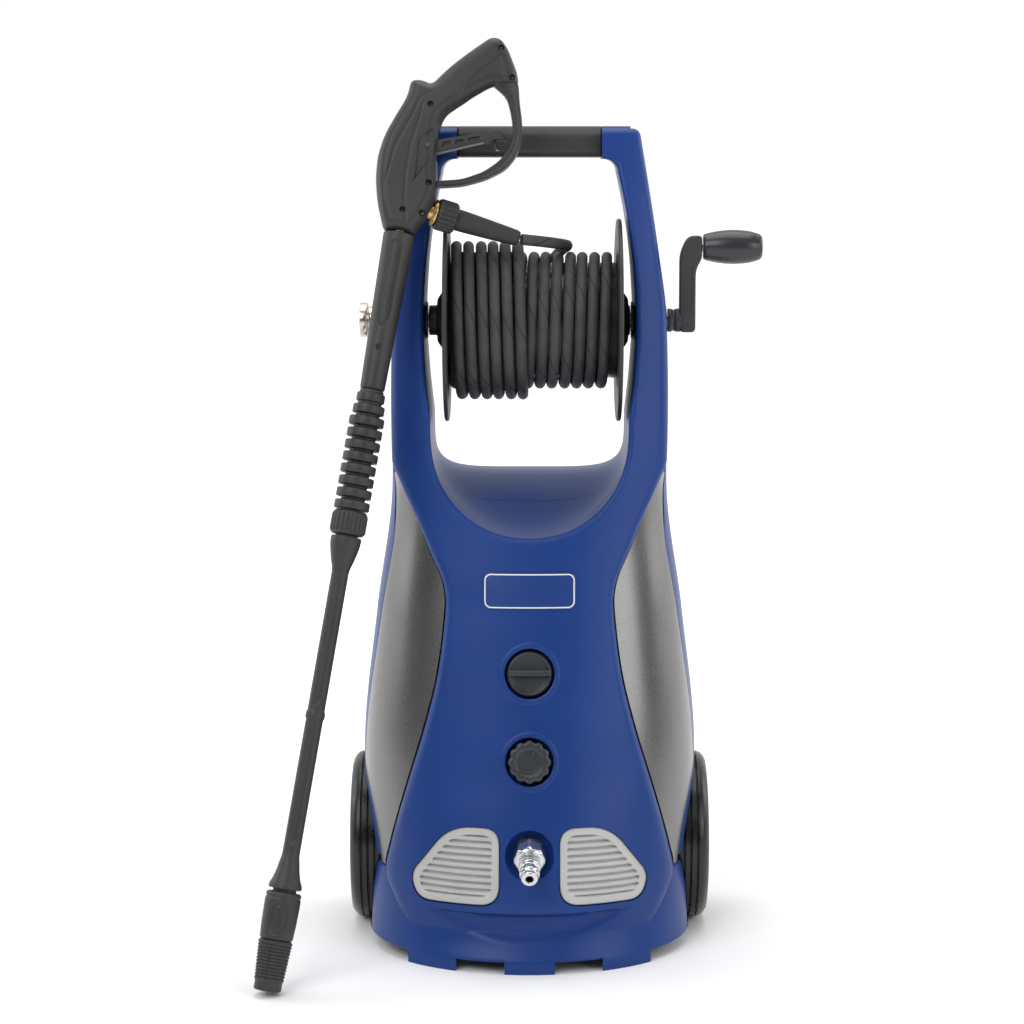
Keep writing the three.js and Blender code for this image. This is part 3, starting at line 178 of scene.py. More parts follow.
def rounded(points, radius, closed=False, steps=6):
    """A line with each corner replaced by a quadratic arc that starts and ends radius away from it."""
    points = np.asarray(points, float)
    radius = np.broadcast_to(np.asarray(radius, float), len(points))
    before, after = np.roll(points, 1, 0) - points, np.roll(points, -1, 0) - points
    long_before, long_after = np.linalg.norm(before, axis=1), np.linalg.norm(after, axis=1)
    r = np.minimum(radius, 0.49 * np.minimum(long_before, long_after))
    a = points + before * (r / np.maximum(long_before, 1e-9))[:, None]
    b = points + after * (r / np.maximum(long_after, 1e-9))[:, None]
    t = np.linspace(0, 1, steps)[None, :, None]
    arcs = (1 - t) ** 2 * a[:, None] + 2 * t * (1 - t) * points[:, None] + t**2 * b[:, None]
    if closed:
        return arcs.reshape(-1, 2)
    return np.concatenate([points[:1], arcs[1:-1].reshape(-1, 2), points[-1:]])


def spline(points, count):
    """count points evenly spaced on the centripetal Catmull-Rom curve through points."""
    p = np.vstack([2 * points[0] - points[1], points, 2 * points[-1] - points[-2]])
    knots = np.concatenate([[0], np.cumsum(np.linalg.norm(np.diff(p, axis=0), axis=1) ** 0.5)])
    t = np.linspace(knots[1], knots[-2], 40 * len(points))
    i = np.clip(np.searchsorted(knots, t, side="right") - 1, 1, len(p) - 3)

    def blend(a, b, ta, tb):
        share = ((t - ta) / (tb - ta))[:, None]
        return a * (1 - share) + b * share

    k = [knots[i - 1], knots[i], knots[i + 1], knots[i + 2]]
    q = [p[i - 1], p[i], p[i + 1], p[i + 2]]
    a1, a2, a3 = (blend(q[n], q[n + 1], k[n], k[n + 1]) for n in range(3))
    fine = blend(blend(a1, a2, k[0], k[2]), blend(a2, a3, k[1], k[3]), k[1], k[2])
    return even(fine, count)


def even(line, count):
    """count points evenly spaced along a line."""
    far = np.concatenate([[0], np.cumsum(np.linalg.norm(np.diff(line, axis=0), axis=1))])
    want = np.linspace(0, far[-1], count)
    return np.stack([np.interp(want, far, line[:, i]) for i in range(line.shape[1])], -1)


def length_of(line):
    """Length of a line of points."""
    return float(np.linalg.norm(np.diff(line, axis=0), axis=1).sum())


def power(v, p):
    """|v| to the power p, with v's sign."""
    return np.sign(v) * np.abs(v) ** p


def side_name(side):
    """The word for a side: -1 is left and 1 is right."""
    return "left" if side < 0 else "right"


def about_x(angle):
    """Rotation about the X axis."""
    c, s = math.cos(angle), math.sin(angle)
    return np.array([[1, 0, 0], [0, c, -s], [0, s, c]])


def matrix_of(turn, move):
    """A turn and a move in millimetres as one matrix in metres."""
    matrix = np.eye(4)
    matrix[:3, :3], matrix[:3, 3] = turn, np.asarray(move) / 1000
    return Matrix(matrix.tolist())


def polar(angle):
    """Cosine and sine of angles, as points."""
    return np.stack([np.cos(angle), np.sin(angle)], -1)


def outline_distance(x, z, outline):
    """Distance from each point to a closed outline, the least over its segments."""
    a, b = outline, np.roll(outline, -1, 0)
    ab = b - a
    p = np.stack([np.ravel(x), np.ravel(z)], -1)
    best = np.full(len(p), 1e9)
    for start, step in zip(a, ab):
        rel = p - start
        t = np.clip(rel @ step / max(step @ step, 1e-9), 0, 1)
        best = np.minimum(best, np.linalg.norm(rel - t[:, None] * step, axis=1))
    return best.reshape(np.shape(x))


def inside(x, z, outline):
    """True where a point lies in a closed outline: an odd number of its sides pass to the right."""
    hit = np.zeros(np.shape(x), bool)
    for (ax, az), (bx, bz) in zip(outline, np.roll(outline, -1, 0)):
        if az == bz:
            continue
        cross = ((az > z) != (bz > z)) & (x < (bx - ax) * (z - az) / (bz - az) + ax)
        hit ^= cross
    return hit


# ---------------------------------------------------------------- meshes


def mesh_object(name, points, faces, uv=None):
    """An object from points in millimetres: doubles merged, poles closed, faces turned outwards."""
    mesh = bpy.data.meshes.new(name)
    mesh.from_pydata((np.asarray(points, float) * 0.001).tolist(), [], faces)
    if uv is not None:
        layer = mesh.uv_layers.new(name="UVMap")
        layer.data.foreach_set("uv", np.asarray(uv, np.float32).ravel())
    work = bmesh.new()
    work.from_mesh(mesh)
    bmesh.ops.remove_doubles(work, verts=work.verts, dist=2e-7)
    if work.calc_volume(signed=True) < 0:
        bmesh.ops.reverse_faces(work, faces=work.faces)
    work.to_mesh(mesh)
    work.free()
    piece = bpy.data.objects.new(name, mesh)
    bpy.context.scene.collection.objects.link(piece)
    return piece


def skin(name, rings, wrap=False, uv=None):
    """Quads round each ring and from ring to ring. Unless wrap joins the last ring to the first, a face closes
    each end."""
    rows, columns, _ = rings.shape
    index = np.arange(rows * columns).reshape(rows, columns)
    low, high = (index, np.roll(index, -1, 0)) if wrap else (index[:-1], index[1:])
    quads = np.stack([low, np.roll(low, -1, 1), np.roll(high, -1, 1), high], -1).reshape(-1, 4)
    faces = quads.tolist()
    if not wrap:
        faces += [index[0][::-1].tolist(), index[-1].tolist()]
    loops = None
    if uv is not None:
        corners = np.stack([uv[:-1, :-1], uv[:-1, 1:], uv[1:, 1:], uv[1:, :-1]], 2).reshape(-1, 2)
        loops = np.vstack([corners, np.tile(uv[0, 0], (columns, 1)), np.tile(uv[-1, 0], (columns, 1))])
    return mesh_object(name, rings.reshape(-1, 3), faces, loops)


AXES = {
    "x": np.array([[1, 0, 0], [0, 1, 0], [0, 0, 1]], float),
    "y": np.array([[0, 1, 0], [0, 0, 1], [1, 0, 0]], float),
    "z": np.array([[0, 0, 1], [1, 0, 0], [0, 1, 0]], float),
}


def turned(name, axis, profile, centre=(0, 0, 0), sides=64, shape=None, place=None):
    """A profile of (radius, height) turned about an axis. shape(angle, radius, height) may give another radius."""
    profile = np.asarray(profile, float)
    angle = np.linspace(0, 2 * np.pi, sides, endpoint=False)[None, :]
    radius, height = profile[:, :1], profile[:, 1:]
    r = radius + 0 * angle if shape is None else shape(angle, radius, height)
    along_axis, side, up = AXES[axis]
    rings = (height + 0 * angle)[..., None] * along_axis + (r * np.cos(angle))[..., None] * side
    rings = rings + (r * np.sin(angle))[..., None] * up + np.asarray(centre, float)
    if place is not None:
        rings = place(rings)
    closed = np.allclose(profile[0], profile[-1])
    return skin(name, rings[:-1] if closed else rings, wrap=closed)


def rod(axis, radius, low, high, centre=(0, 0, 0), sides=64, place=None):
    """A plain cylinder between two heights along an axis, used only to cut."""
    return turned("tool", axis, [[0, low], [radius, low], [radius, high], [0, high]], centre, sides, place=place)


def plate(name, outline, low, high, edge, place=None, steps=5):
    """An outline in (x, z) given a thickness in y from low to high, its edges rounded by edge:
    each row of points moves inwards along the outline's own normals by edge (1 - sin a)."""
    outline = np.asarray(outline, float)
    run = np.roll(outline, -1, 0) - np.roll(outline, 1, 0)
    area = 0.5 * np.sum(outline[:, 0] * np.roll(outline[:, 1], -1) - np.roll(outline[:, 0], -1) * outline[:, 1])
    normal = np.stack([run[:, 1], -run[:, 0]], -1) / np.maximum(np.linalg.norm(run, axis=1), 1e-9)[:, None]
    normal *= np.sign(area)
    a = np.linspace(0, np.pi / 2, steps)
    inset = edge * (1 - np.sin(a))
    deep = edge * (1 - np.cos(a))
    y = np.concatenate([low + deep, (high - deep)[::-1]])
    drawn = np.concatenate([inset, inset[::-1]])
    flat = outline[None] - drawn[:, None, None] * normal[None]
    rings = np.stack([flat[..., 0], np.repeat(y[:, None], len(outline), 1), flat[..., 1]], -1)
    return skin(name, rings if place is None else place(rings))


def block(low, high, name="tool"):
    """A plain box between two corners."""
    (x0, y0, z0), (x1, y1, z1) = low, high
    return skin(name, np.array([[[x0, y0, z], [x1, y0, z], [x1, y1, z], [x0, y1, z]] for z in (z0, z1)], float))


def combine(piece, *steps):
    """Cuts, joins or meets a piece with other closed pieces, in order; each step is (operation, tool)."""
    for operation, tool in steps:
        change = piece.modifiers.new(operation, "BOOLEAN")
        change.operation = operation
        change.solver = "MANIFOLD"
        change.object = tool
    bpy.context.view_layer.update()
    graph = bpy.context.evaluated_depsgraph_get()
    mesh = bpy.data.meshes.new_from_object(piece.evaluated_get(graph))
    if not len(mesh.polygons):
        raise RuntimeError(f"{piece.name}: nothing is left after cutting")
    piece.modifiers.clear()
    piece.data = mesh
    for _, tool in steps:
        bpy.data.objects.remove(tool)
    return piece


def cut(piece, *tools):
    """Cuts the tools away from a piece."""
    return combine(piece, *[("DIFFERENCE", tool) for tool in tools])


def joined(piece, *tools):
    """Joins the tools to a piece."""
    return combine(piece, *[("UNION", tool) for tool in tools])


def common(piece, *tools):
    """Keeps what a piece shares with every tool."""
    return combine(piece, *[("INTERSECT", tool) for tool in tools])


def largest(piece):
    """Keeps the biggest connected part of a piece and drops the crumbs that cutting leaves."""
    work = bmesh.new()
    work.from_mesh(piece.data)
    seen, parts = set(), []
    for start in work.verts:
        if start in seen:
            continue
        stack, part = [start], []
        seen.add(start)
        while stack:
            vert = stack.pop()
            part.append(vert)
            for edge in vert.link_edges:
                other = edge.other_vert(vert)
                if other not in seen:
                    seen.add(other)
                    stack.append(other)
        parts.append(part)
    parts.sort(key=len)
    crumbs = [vert for part in parts[:-1] for vert in part]
    if crumbs:
        bmesh.ops.delete(work, geom=crumbs, context="VERTS")
    work.to_mesh(piece.data)
    work.free()
    return piece


def place_piece(piece, body, look, *nodes, angle=35):
    """Gives a finished piece its finish and shading, ties it to its body, and hides the CAD nodes it stands for."""
    piece.data.materials.clear()
    piece.data.materials.append(finish(look))
    piece.data.shade_smooth()
    piece.data.set_sharp_from_angle(angle=math.radians(angle))
    if body is not None:
        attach(piece, body)
    if nodes:
        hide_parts(*nodes)


# ---------------------------------------------------------------- casing surfaces


def face_y(x, z):
    """Front cover's surface: its centre line, falling back as an ellipse of the plan by the share for that height."""
    share = np.minimum(np.abs(x) / SAG_HALF, 0.999)
    return along(FACE, 2, z) + SAG_DEPTH * (1 - np.sqrt(1 - share**2)) * along(FACE_CURVE, 1, z)


def hollow_at(x, z):
    """Depth of the crescent hollow over the foot: a parabola of depth from its curved lower edge, back to nothing
    just under its straight upper edge."""
    half_width, low_middle, rise, top, most = 106.0, 29.0, 34.0, 63.5, 9.0
    across = np.minimum(np.abs(x) / half_width, 1)
    low = low_middle + rise * across**2
    t = (z - low) / np.maximum(top - low, 0.5)
    deep = (1 - (1 - np.clip(t / 0.72, 0, 1)) ** 2) * (1 - smoothstep(t, 0.80, 1.0))
    return most * (1 - across**2) ** 0.6 * deep


def heights(low, high, step, round_low=0.0, round_high=0.0, arc=6):
    """Heights from low to high with the inset at each: ends are quarter circles, the rest is even steps."""
    t = np.linspace(0, np.pi / 2, arc)[1:]
    middle = np.linspace(low + round_low, high - round_high, max(2, int((high - low) / step)))
    parts = [(middle, 0 * middle)]
    if round_low:
        parts.insert(0, (low + round_low * (1 - np.sin(t[::-1])), round_low * (1 - np.cos(t[::-1]))))
    if round_high:
        parts.append((high - round_high * (1 - np.sin(t)), round_high * (1 - np.cos(t))))
    return tuple(np.concatenate(column) for column in zip(*parts))


def core_body(name, inset=0.0, low=14.0, step=5.0, edge=0.0):
    """Rear casing: superellipses r = (|cos|^n + |sin|^n)^(-1/n) in plan, scaled by the table at each height."""
    z, drawn = heights(low, CASE_TOP - inset, step, 0, edge)
    z, drawn = z[:, None], drawn[:, None] + inset
    a = np.linspace(0, 2 * np.pi, 220, endpoint=False)[None, :]
    n = np.where(np.sin(a) < 0, along(CORE, 5, z), 5.0)
    r = (np.abs(np.cos(a)) ** n + np.abs(np.sin(a)) ** n) ** (-1 / n)
    widest = along(CORE, 3, z)
    deep = np.where(np.sin(a) < 0, widest - along(CORE, 2, z), along(CORE, 4, z) - widest) - drawn
    x = (along(CORE, 1, z) - drawn) * r * np.cos(a)
    return skin(name, np.stack([x, widest + deep * r * np.sin(a), z + 0 * a], -1))


def face_body(name, inset=0.0, open_back=0.0, high=None, shift=0.0, step=3.0, across=90, edge=0.0):
    """Front cover: at each height a straight flank, a parabola round the corner, and the curved front between."""
    bevel = 9.0
    z, drawn = heights(28.0, CASE_TOP - inset if high is None else high, step, 5.0 if edge else 0, edge)
    z, drawn = z[:, None], drawn[:, None] + inset
    half = along(FACE, 1, z) - drawn
    back = along(FACE, 3, z) + open_back
    t = np.linspace(0, 1, 8)[None, :]
    ax, cx = half - bevel, half
    ay = face_y(ax, z) + drawn
    cy = face_y(cx, z) + drawn
    by = cy + bevel
    corner_x = (1 - t) ** 2 * ax + 2 * t * (1 - t) * cx + t**2 * cx
    corner_y = (1 - t) ** 2 * ay + 2 * t * (1 - t) * cy + t**2 * by
    flank = np.linspace(0, 1, 5)[None, 1:]
    flank_x = half + 0 * flank
    flank_y = by + (np.maximum(back, by + 2) - by) * flank
    x = ax * np.linspace(-1, 1, across)[None, :]
    y = face_y(x, z) + drawn
    xs = np.hstack([-flank_x[:, ::-1], -corner_x[:, :0:-1], x, corner_x[:, 1:], flank_x])
    ys = np.hstack([flank_y[:, ::-1], corner_y[:, :0:-1], y, corner_y[:, 1:], flank_y])
    ys = np.minimum(ys, back) + hollow_at(xs, z)
    return skin(name, np.stack([xs, ys + shift, z + 0 * xs], -1))


def skirt_body(name, inset=0.0, low=12.0, high=None, shift=0.0, edge=0.0):
    """Skirt: half ellipses in plan, cut off square at the back."""
    z, drawn = heights(low, 88.0 - inset if high is None else high, 2.5, 3.0 if edge else 0, edge)
    z, drawn = z[:, None], drawn[:, None] + inset
    a = np.pi * (1 + np.linspace(0, 1, 150))[None, :]
    centre = along(SKIRT, 3, z)
    x = (along(SKIRT, 1, z) - drawn) * np.cos(a)
    y = centre + (centre - along(SKIRT, 2, z) - drawn) * np.sin(a)
    y = y + hollow_at(x, z)
    limit = SKIRT_BACK + (8 if inset else 0)
    return skin(name, np.stack([x, np.minimum(y, limit) + shift, z + 0 * x], -1))


def opening_line(y, grow, index):
    """Point number index (0 to 1, from the lowest point round) of the opening between the arms, at depth y:
    a superellipse below the waist, the arms' inner line above it and a rounded corner at the top."""
    scoop_end, arm_end, bend_end = 0.42, 0.78, 0.88
    t = smoothstep(y, 78, 250)
    depth = 118 + (64 - 118) * t + grow
    square = 2.2 + (5 - 2.2) * t
    side = np.where(index < 0.5, 1.0, -1.0)
    u = np.where(index < 0.5, index * 2, 2 - index * 2)
    low = np.clip(u / scoop_end, 0, 1) * (np.pi / 2)
    waist_half = along(ARM_INNER, 1, WAIST) + grow
    reach = (np.sin(low) ** square + np.cos(low) ** square) ** (-1 / square)
    low_x, low_z = waist_half * reach * np.sin(low), WAIST - depth * reach * np.cos(low)
    top = OPENING_TOP + grow
    shoulder = top - OPENING_CORNER
    arm_z = WAIST + (shoulder - WAIST) * np.clip((u - scoop_end) / (arm_end - scoop_end), 0, 1)
    arm_x = along(ARM_INNER, 1, arm_z) + grow
    bend = np.clip((u - arm_end) / (bend_end - arm_end), 0, 1) * (np.pi / 2)
    end_x = along(ARM_INNER, 1, shoulder) + grow
    bend_x = end_x - OPENING_CORNER * (1 - np.cos(bend))
    bend_z = shoulder + OPENING_CORNER * np.sin(bend)
    across = np.clip((u - bend_end) / (1 - bend_end), 0, 1)
    flat_x = (end_x - OPENING_CORNER) * (1 - across)
    x = np.select([u < scoop_end, u < arm_end, u < bend_end], [low_x, arm_x, bend_x], flat_x)
    z = np.select([u < scoop_end, u < arm_end], [low_z, arm_z], bend_z)
    return side * x, z


def back_y(x, z):
    """Rear casing's back surface: a superellipse of the fifth power behind its widest line."""
    share = np.minimum(np.abs(x) / along(CORE, 1, z), 0.985)
    widest = along(CORE, 3, z)
    return widest + (along(CORE, 4, z) - widest) * (1 - share**5) ** 0.2


def opening_body(grow=0.0, front=0.0, rear=0.0):
    """Tool for the opening. Near each face it widens as a quarter circle, so the edge it cuts is rounded:
    at depth R(1 - cos a) under the face it is wider by R(1 - sin a)."""
    sides = 260
    index = ((np.arange(sides) + 0.5) / sides)[None, :]
    a = np.radians(np.linspace(14, 90, 8))
    most_deep, most_wide = 1 - math.cos(a[0]), 1 - math.sin(a[0])

    def at(y):
        y = np.broadcast_to(y, (1, sides))
        x, z = opening_line(y, grow, index)
        return np.stack([x, y, z], -1)

    def ring(surface, depth, wide):
        y = np.full((1, sides), 120.0 if surface is face_y else 250.0)
        for _ in range(6):
            x, z = opening_line(y, grow + wide, index)
            y = surface(x, z) + depth
        x, z = opening_line(y, grow + wide, index)
        return np.stack([x, y, z], -1)

    if front:
        flare = front * most_wide + 4 * math.cos(a[0]) / math.sin(a[0]) * 0.6
        rows = [ring(face_y, -60.0, flare), ring(face_y, front * most_deep - 4, flare)]
        rows += [ring(face_y, front * (1 - math.cos(t)), front * (1 - math.sin(t))) for t in a]
        start = rows[-1][..., 1]
        rows += [at(start + share * (228.0 - start)) for share in (0.15, 0.3, 0.45)]
    else:
        rows = [at(y) for y in (-20.0, 60.0, 90.0, 120.0, 150.0, 180.0)]
    if rear:
        base, target = np.maximum(rows[-1][..., 1] + 1, 190.0), ring(back_y, -rear, 0.0)[..., 1]
        rows += [at(base + share * (target - base)) for share in (0.0, 0.2, 0.4, 0.6, 0.8, 0.95)]
        rows += [ring(back_y, -rear * (1 - math.cos(t)), rear * (1 - math.sin(t))) for t in a[::-1]]
        rows += [ring(back_y, depth, rear * most_wide + 8) for depth in (4 - rear * most_deep, 60.0)]
    else:
        rows += [at(y) for y in (198.0, 215.0, 232.0, 250.0, 330.0)]
    return skin("tool", np.concatenate(rows))


def rear_line(offset):
    """Side view of everything behind the parting line of the two covers."""
    z = np.linspace(CASE_TOP + 10, 430, 70)
    line = np.stack([along(FACE, 3, z) + offset, z], -1)
    edge = PANEL_EDGE + offset
    return np.vstack([[[edge, 0], [400, 0], [400, CASE_TOP + 10]], line, [[edge, 426]]])


def slab(outline):
    """An outline in (y, z) carried right through the machine, used only to cut."""
    outline = np.asarray(outline, float)
    rings = np.stack([np.column_stack([np.full(len(outline), x), outline]) for x in (-260.0, 260.0)])
    return skin("tool", rings)


def vent_outline(side, grow=0.0, steps=12):
    """The grille's outline: five rounded corners, with a slanting outer edge."""
    inner, outer, bottom, top = VENT_INNER - grow, VENT_OUTER + grow, VENT_BOTTOM - grow, VENT_TOP + grow
    corners = [[inner, bottom], [outer - 9, bottom], [outer, VENT_BOTTOM + 24], [outer - 42, top], [inner, top]]
    line = rounded(corners, np.maximum(np.array([22, 14, 14, 24, 18]) + grow, 2), closed=True, steps=steps)
    return line * [side, 1]


def vent_tool(side, grow):
    """Tool in the shape of a grille's outline."""
    return plate("tool", vent_outline(side, grow), -30, 120, 0, steps=1)


def on_face(z):
    """The point of the front cover's centre line at height z."""
    return np.array([0, float(along(FACE, 2, np.array([z]))[0]), z])


def seated(z):
    """Moves points made about the Y axis onto the face at height z, leaned with it."""
    return lambda points: points @ about_x(-WELL_LEAN).T + on_face(z)


def seat_matrix(z):
    """The same move as seated, as a matrix in metres."""
    return matrix_of(about_x(-WELL_LEAN), on_face(z))


def dipped(points):
    """Moves points made about the Y axis into the inlet recess, dipped towards the floor."""
    return points @ about_x(INLET_DIP).T + on_face(INLET_Z) + [0, 2, 0]


def face_band(low, high):
    """What lies between two depths under the front surface, up to 300 mm."""
    outer, inner = (
        joined(face_body("seats", shift=depth, high=300.0, step=6, across=60), skirt_body("tool", shift=depth))
        for depth in (low, high)
    )
    return cut(outer, inner)


def grip_section():
    """Section of the handle in (y, z): flat sides and chamfered shoulders, every corner rounded."""
    corners = [[-18, -11], [-18, 6.5], [-10, 16.5], [10, 16.5], [18, 6.5], [18, -11], [12, -16.5], [-12, -16.5]]
    line = rounded(corners, [6, 3, 3, 3, 3, 6, 6, 6], closed=True, steps=5)
    return line + [GRIP_Y, GRIP_Z]


def bar_x(name, x, section, round_end=0.0):
    """A section in (y, z) carried along x and drawn in at both ends."""
    x0, x1 = x
    t = np.linspace(0, np.pi / 2, 5)
    ends = round_end * (1 - np.cos(t)) if round_end else np.array([0.0])
    xs = np.concatenate([x0 + ends, np.linspace(x0, x1, 14)[1:-1], (x1 - ends)[::-1]])
    inset = round_end * (1 - np.sin(t)) if round_end else np.array([0.0])
    drawn = np.concatenate([inset, np.zeros(12), inset[::-1]])
    centre = section.mean(0)
    flat = centre + (section[None] - centre) * (1 - drawn / GRIP_DEEP)[:, None, None]
    rings = np.concatenate([np.broadcast_to(xs[:, None, None], flat.shape[:2] + (1,)), flat], -1)
    return skin(name, rings)


def wheel_arches(grow=0.0):
    """Tools for the round recesses that the wheels stand in."""
    near, far = ARCH_X - grow, ARCH_X - grow + 80
    return [rod("x", ARCH_R + grow, side * near, side * far, WHEEL_LINE, 120) for side in (-1, 1)]


def axle_hole():
    """Tool for the reel's bush through both arms."""
    return rod("x", BUSH_R + 0.4, -THROUGH, THROUGH, REEL_LINE)


def lip_ring(z, radius, width, proud):
    """A raised rim on the front surface round a well: a small round bead swept round a circle."""
    u = np.linspace(0, 2 * np.pi, 96, endpoint=False)[:, None]
    v = np.linspace(0, 2 * np.pi, 14, endpoint=False)[None, :]
    r = radius + width * np.cos(v)
    x, zz = r * np.cos(u), z + r * np.sin(u)
    y = face_y(x, zz) + 0.6 - (proud + 0.6) * np.sin(v)
    return skin("rim", np.stack([x, y, zz], -1), wrap=True)


def handle_gap():
    """Tool for the space that the handle grip fills between its two stubs."""
    return block((-GRIP_HALF - 1.4, GRIP_Y - 100, GRIP_Z - 40), (GRIP_HALF + 1.4, GRIP_Y + 100, GRIP_Z + 80))


def handle_stubs():
    """The two short lengths of the handle's section that stand out from the arms."""
    return [bar_x("stub", span, grip_section()) for span in ((-107, -75), (75, 107))]


def front_foot(low, high):
    """One of the blocks under the skirt's front edge."""
    ring = cut(skirt_body("foot", 0, 0.0, 24.0), skirt_body("tool", 11.0, -9.0, 33.0))
    return common(ring, block((low, -20, -30), (high, 120, 50)))


def front_cover(round_edge):
    """The hourglass cover with its skirt, feet, wells, grille seats and half of the arms."""
    shell = joined(face_body("cover_front", edge=7.0), skirt_body("tool", edge=2.5))
    hollow = joined(face_body("tool", WALL, 60, step=7, across=50), skirt_body("tool", WALL))
    hollow = cut(hollow, opening_body(WALL))
    for z, r in WELLS:
        deep = WELL_DEPTH + WALL
        hollow = cut(hollow, rod("y", r + WELL_GAP + 2.4, -deep, deep, place=seated(z)))
    mouth = on_face(INLET_Z)
    hollow = cut(hollow, rod("y", 28, -16, 16.4, mouth))
    shell = cut(shell, hollow, opening_body(0.0, round_edge))
    shell = cut(shell, block((-200, SKIRT_BACK, -60), (200, SKIRT_BACK + 300, 140)))
    shell = joined(shell, *[lip_ring(z, r + 5.4, 3.4, 1.1) for z, r in WELLS])
    for z, r in WELLS:
        w, deep = r + WELL_GAP, WELL_DEPTH
        well = [[0, -20], [w + 1.2, -20], [w + 1.2, -2.4], [w, 0.2], [w, deep], [0, deep]]
        well = rounded(well, [0, 1, 1.5, 1.5, 2, 0])
        shell = cut(shell, turned("tool", "y", well, sides=96, place=seated(z)))
        shell = cut(shell, rod("y", 6.5, 0, 40, sides=32, place=seated(z)))
    dish = [[0, -20], [28.5, -20], [27, -1.2], [25.2, 1.2], [23.6, 6], [20, 11.5], [15.2, 13.6], [15.2, 40], [0, 40]]
    dish = rounded(dish, [0, 1, 2, 2, 4, 4, 1, 0, 0])
    shell = cut(shell, turned("tool", "y", dish, mouth, 96))
    for side in (-1, 1):
        shell = cut(shell, vent_tool(side, 0.8))
    seats = common(face_band(VENT_SINK + 5.6, VENT_SINK + 8), joined(vent_tool(-1, 4.0), vent_tool(1, 4.0)))
    seats = cut(seats, vent_tool(-1, -4.0), vent_tool(1, -4.0))
    shell = joined(shell, cut(seats, core_body("tool", -0.8, step=8)))
    shell = cut(shell, handle_gap(), axle_hole(), slab(rear_line(0)))
    stubs = [cut(stub, slab(rear_line(0)), handle_gap()) for stub in handle_stubs()]
    return largest(joined(shell, *stubs, *[front_foot(a, b) for a, b in FEET]))


def panel_line(grow=0.0):
    """Side view of a side panel: a leaf between the parting line and the wheel arch."""
    r = ARCH_R + 12.0 - grow
    low = math.asin((PANEL_BOTTOM - grow - WHEEL_R) / r)
    high = math.acos((WHEEL_Y - PANEL_EDGE - grow) / r)
    a = np.linspace(low, high, 40)
    arc = np.stack([WHEEL_Y - r * np.cos(a), WHEEL_R + r * np.sin(a)], -1)
    edge, top = PANEL_EDGE + grow, PANEL_TOP + grow
    return np.vstack([[[0, PANEL_BOTTOM - grow]], arc, [[edge, 430], [edge + 12, top], [0, top]]])


def flanks():
    """Tool for the machine's two sides at the height of the panels, and nothing between them."""
    return cut(block((-300, -150, 97), (300, 450, 507)), block((-110, -160, 50), (110, 460, 560)))


def rear_cover(round_edge):
    """The hollow rear cover with its arms, wheel arches and the tongue round each arch."""
    hollow = joined(core_body("tool", WALL, step=8), block((-140, 60, -10), (140, 270, 30)))
    hollow = cut(hollow, opening_body(WALL), *wheel_arches(WALL))
    shell = cut(core_body("cover_rear", edge=9.0), hollow, opening_body(0.0, 0.0, round_edge), *wheel_arches())
    front, low = SKIRT_BACK - 18, PANEL_BOTTOM + 4
    lip = slab([[front, low], [240, low], [240, 260], [front, 260]])
    keep = joined(slab(rear_line(0.4)), common(lip, flanks()))
    shell = cut(common(shell, keep), common(slab(panel_line()), flanks()), handle_gap(), axle_hole())
    stubs = [cut(common(stub, slab(rear_line(0.4))), handle_gap()) for stub in handle_stubs()]
    shell = joined(shell, *stubs)
    shell = cut(shell, rod("x", AXLE_R + 0.4, -THROUGH, THROUGH, WHEEL_LINE, 48))
    return largest(cut(shell, rod("y", 9.4, -30, 30, GLAND, 40)))


def side_panel(side):
    """A satin panel: the casing's own surface between the cover's edge and the wheel arch."""
    layer = cut(core_body(f"panel_{side_name(side)}", step=4), core_body("tool", WALL, 10, step=8))
    near, far = sorted((0, side * 300))
    layer = common(layer, slab(panel_line(-0.8)), block((near, -150, -50), (far, 450, 850)))
    keep_out = joined(face_body("tool", -1.6, 60, high=CASE_TOP), skirt_body("tool", -1.6, high=89.2))
    return largest(cut(layer, keep_out, *wheel_arches(2.0)))


def both_faces(name, x, front, back, z):
    """A closed plate from a grid of points with a front and a back depth at each."""
    return skin(name, np.stack([np.hstack([x, x[:, ::-1]]), np.hstack([front, back[:, ::-1]]), np.hstack([z, z])], -1))


def vent_grille(side, bars, depth):
    """Grille as height over the front surface: a rounded rim by distance from the outline, a sunk field inside
    it, and bars across the field as powers of a cosine of the height."""
    outline = vent_outline(1, 0.0, 16)
    z = np.linspace(VENT_BOTTOM + 0.02, VENT_TOP - 0.02, 190)
    # left and right ends of each level line across the outline
    a, b = outline, np.roll(outline, -1, 0)
    reach = []
    for level in z:
        hit = (a[:, 1] > level) != (b[:, 1] > level)
        xs = a[hit, 0] + (level - a[hit, 1]) / (b[hit, 1] - a[hit, 1]) * (b[hit, 0] - a[hit, 0])
        reach.append((xs.min(), xs.max()))
    left, right = np.array(reach).T
    t = 0.5 - 0.5 * np.cos(np.pi * np.linspace(0, 1, 120))
    x = left[:, None] + (right - left)[:, None] * t[None, :]
    zz = z[:, None] + 0 * x
    far = outline_distance(x, zz, outline)
    rim = 2.2
    fall = rim - np.sqrt(np.maximum(rim**2 - np.maximum(rim - far, 0) ** 2, 0))
    field = smoothstep(far, 7.6, 10.0)
    pitch = (VENT_TOP - VENT_BOTTOM - 17) / bars
    wave = np.abs(np.cos(np.pi * (zz - VENT_BOTTOM - 8.5) / pitch + np.pi / 2))
    bar = smoothstep(wave, 0.22, 0.85)
    ends = smoothstep(far, 7.0, 9.4)
    front = fall + field * 1.6 + ends * (1 - bar) * depth
    base = face_y(x, zz) + VENT_SINK
    y_front = base + front
    y_back = base + 5.0 + smoothstep(far, 4.6, 7.6) * (depth + 0.2)
    return both_faces(f"grille_{side_name(side)}", x * side, y_front, y_back, zz)


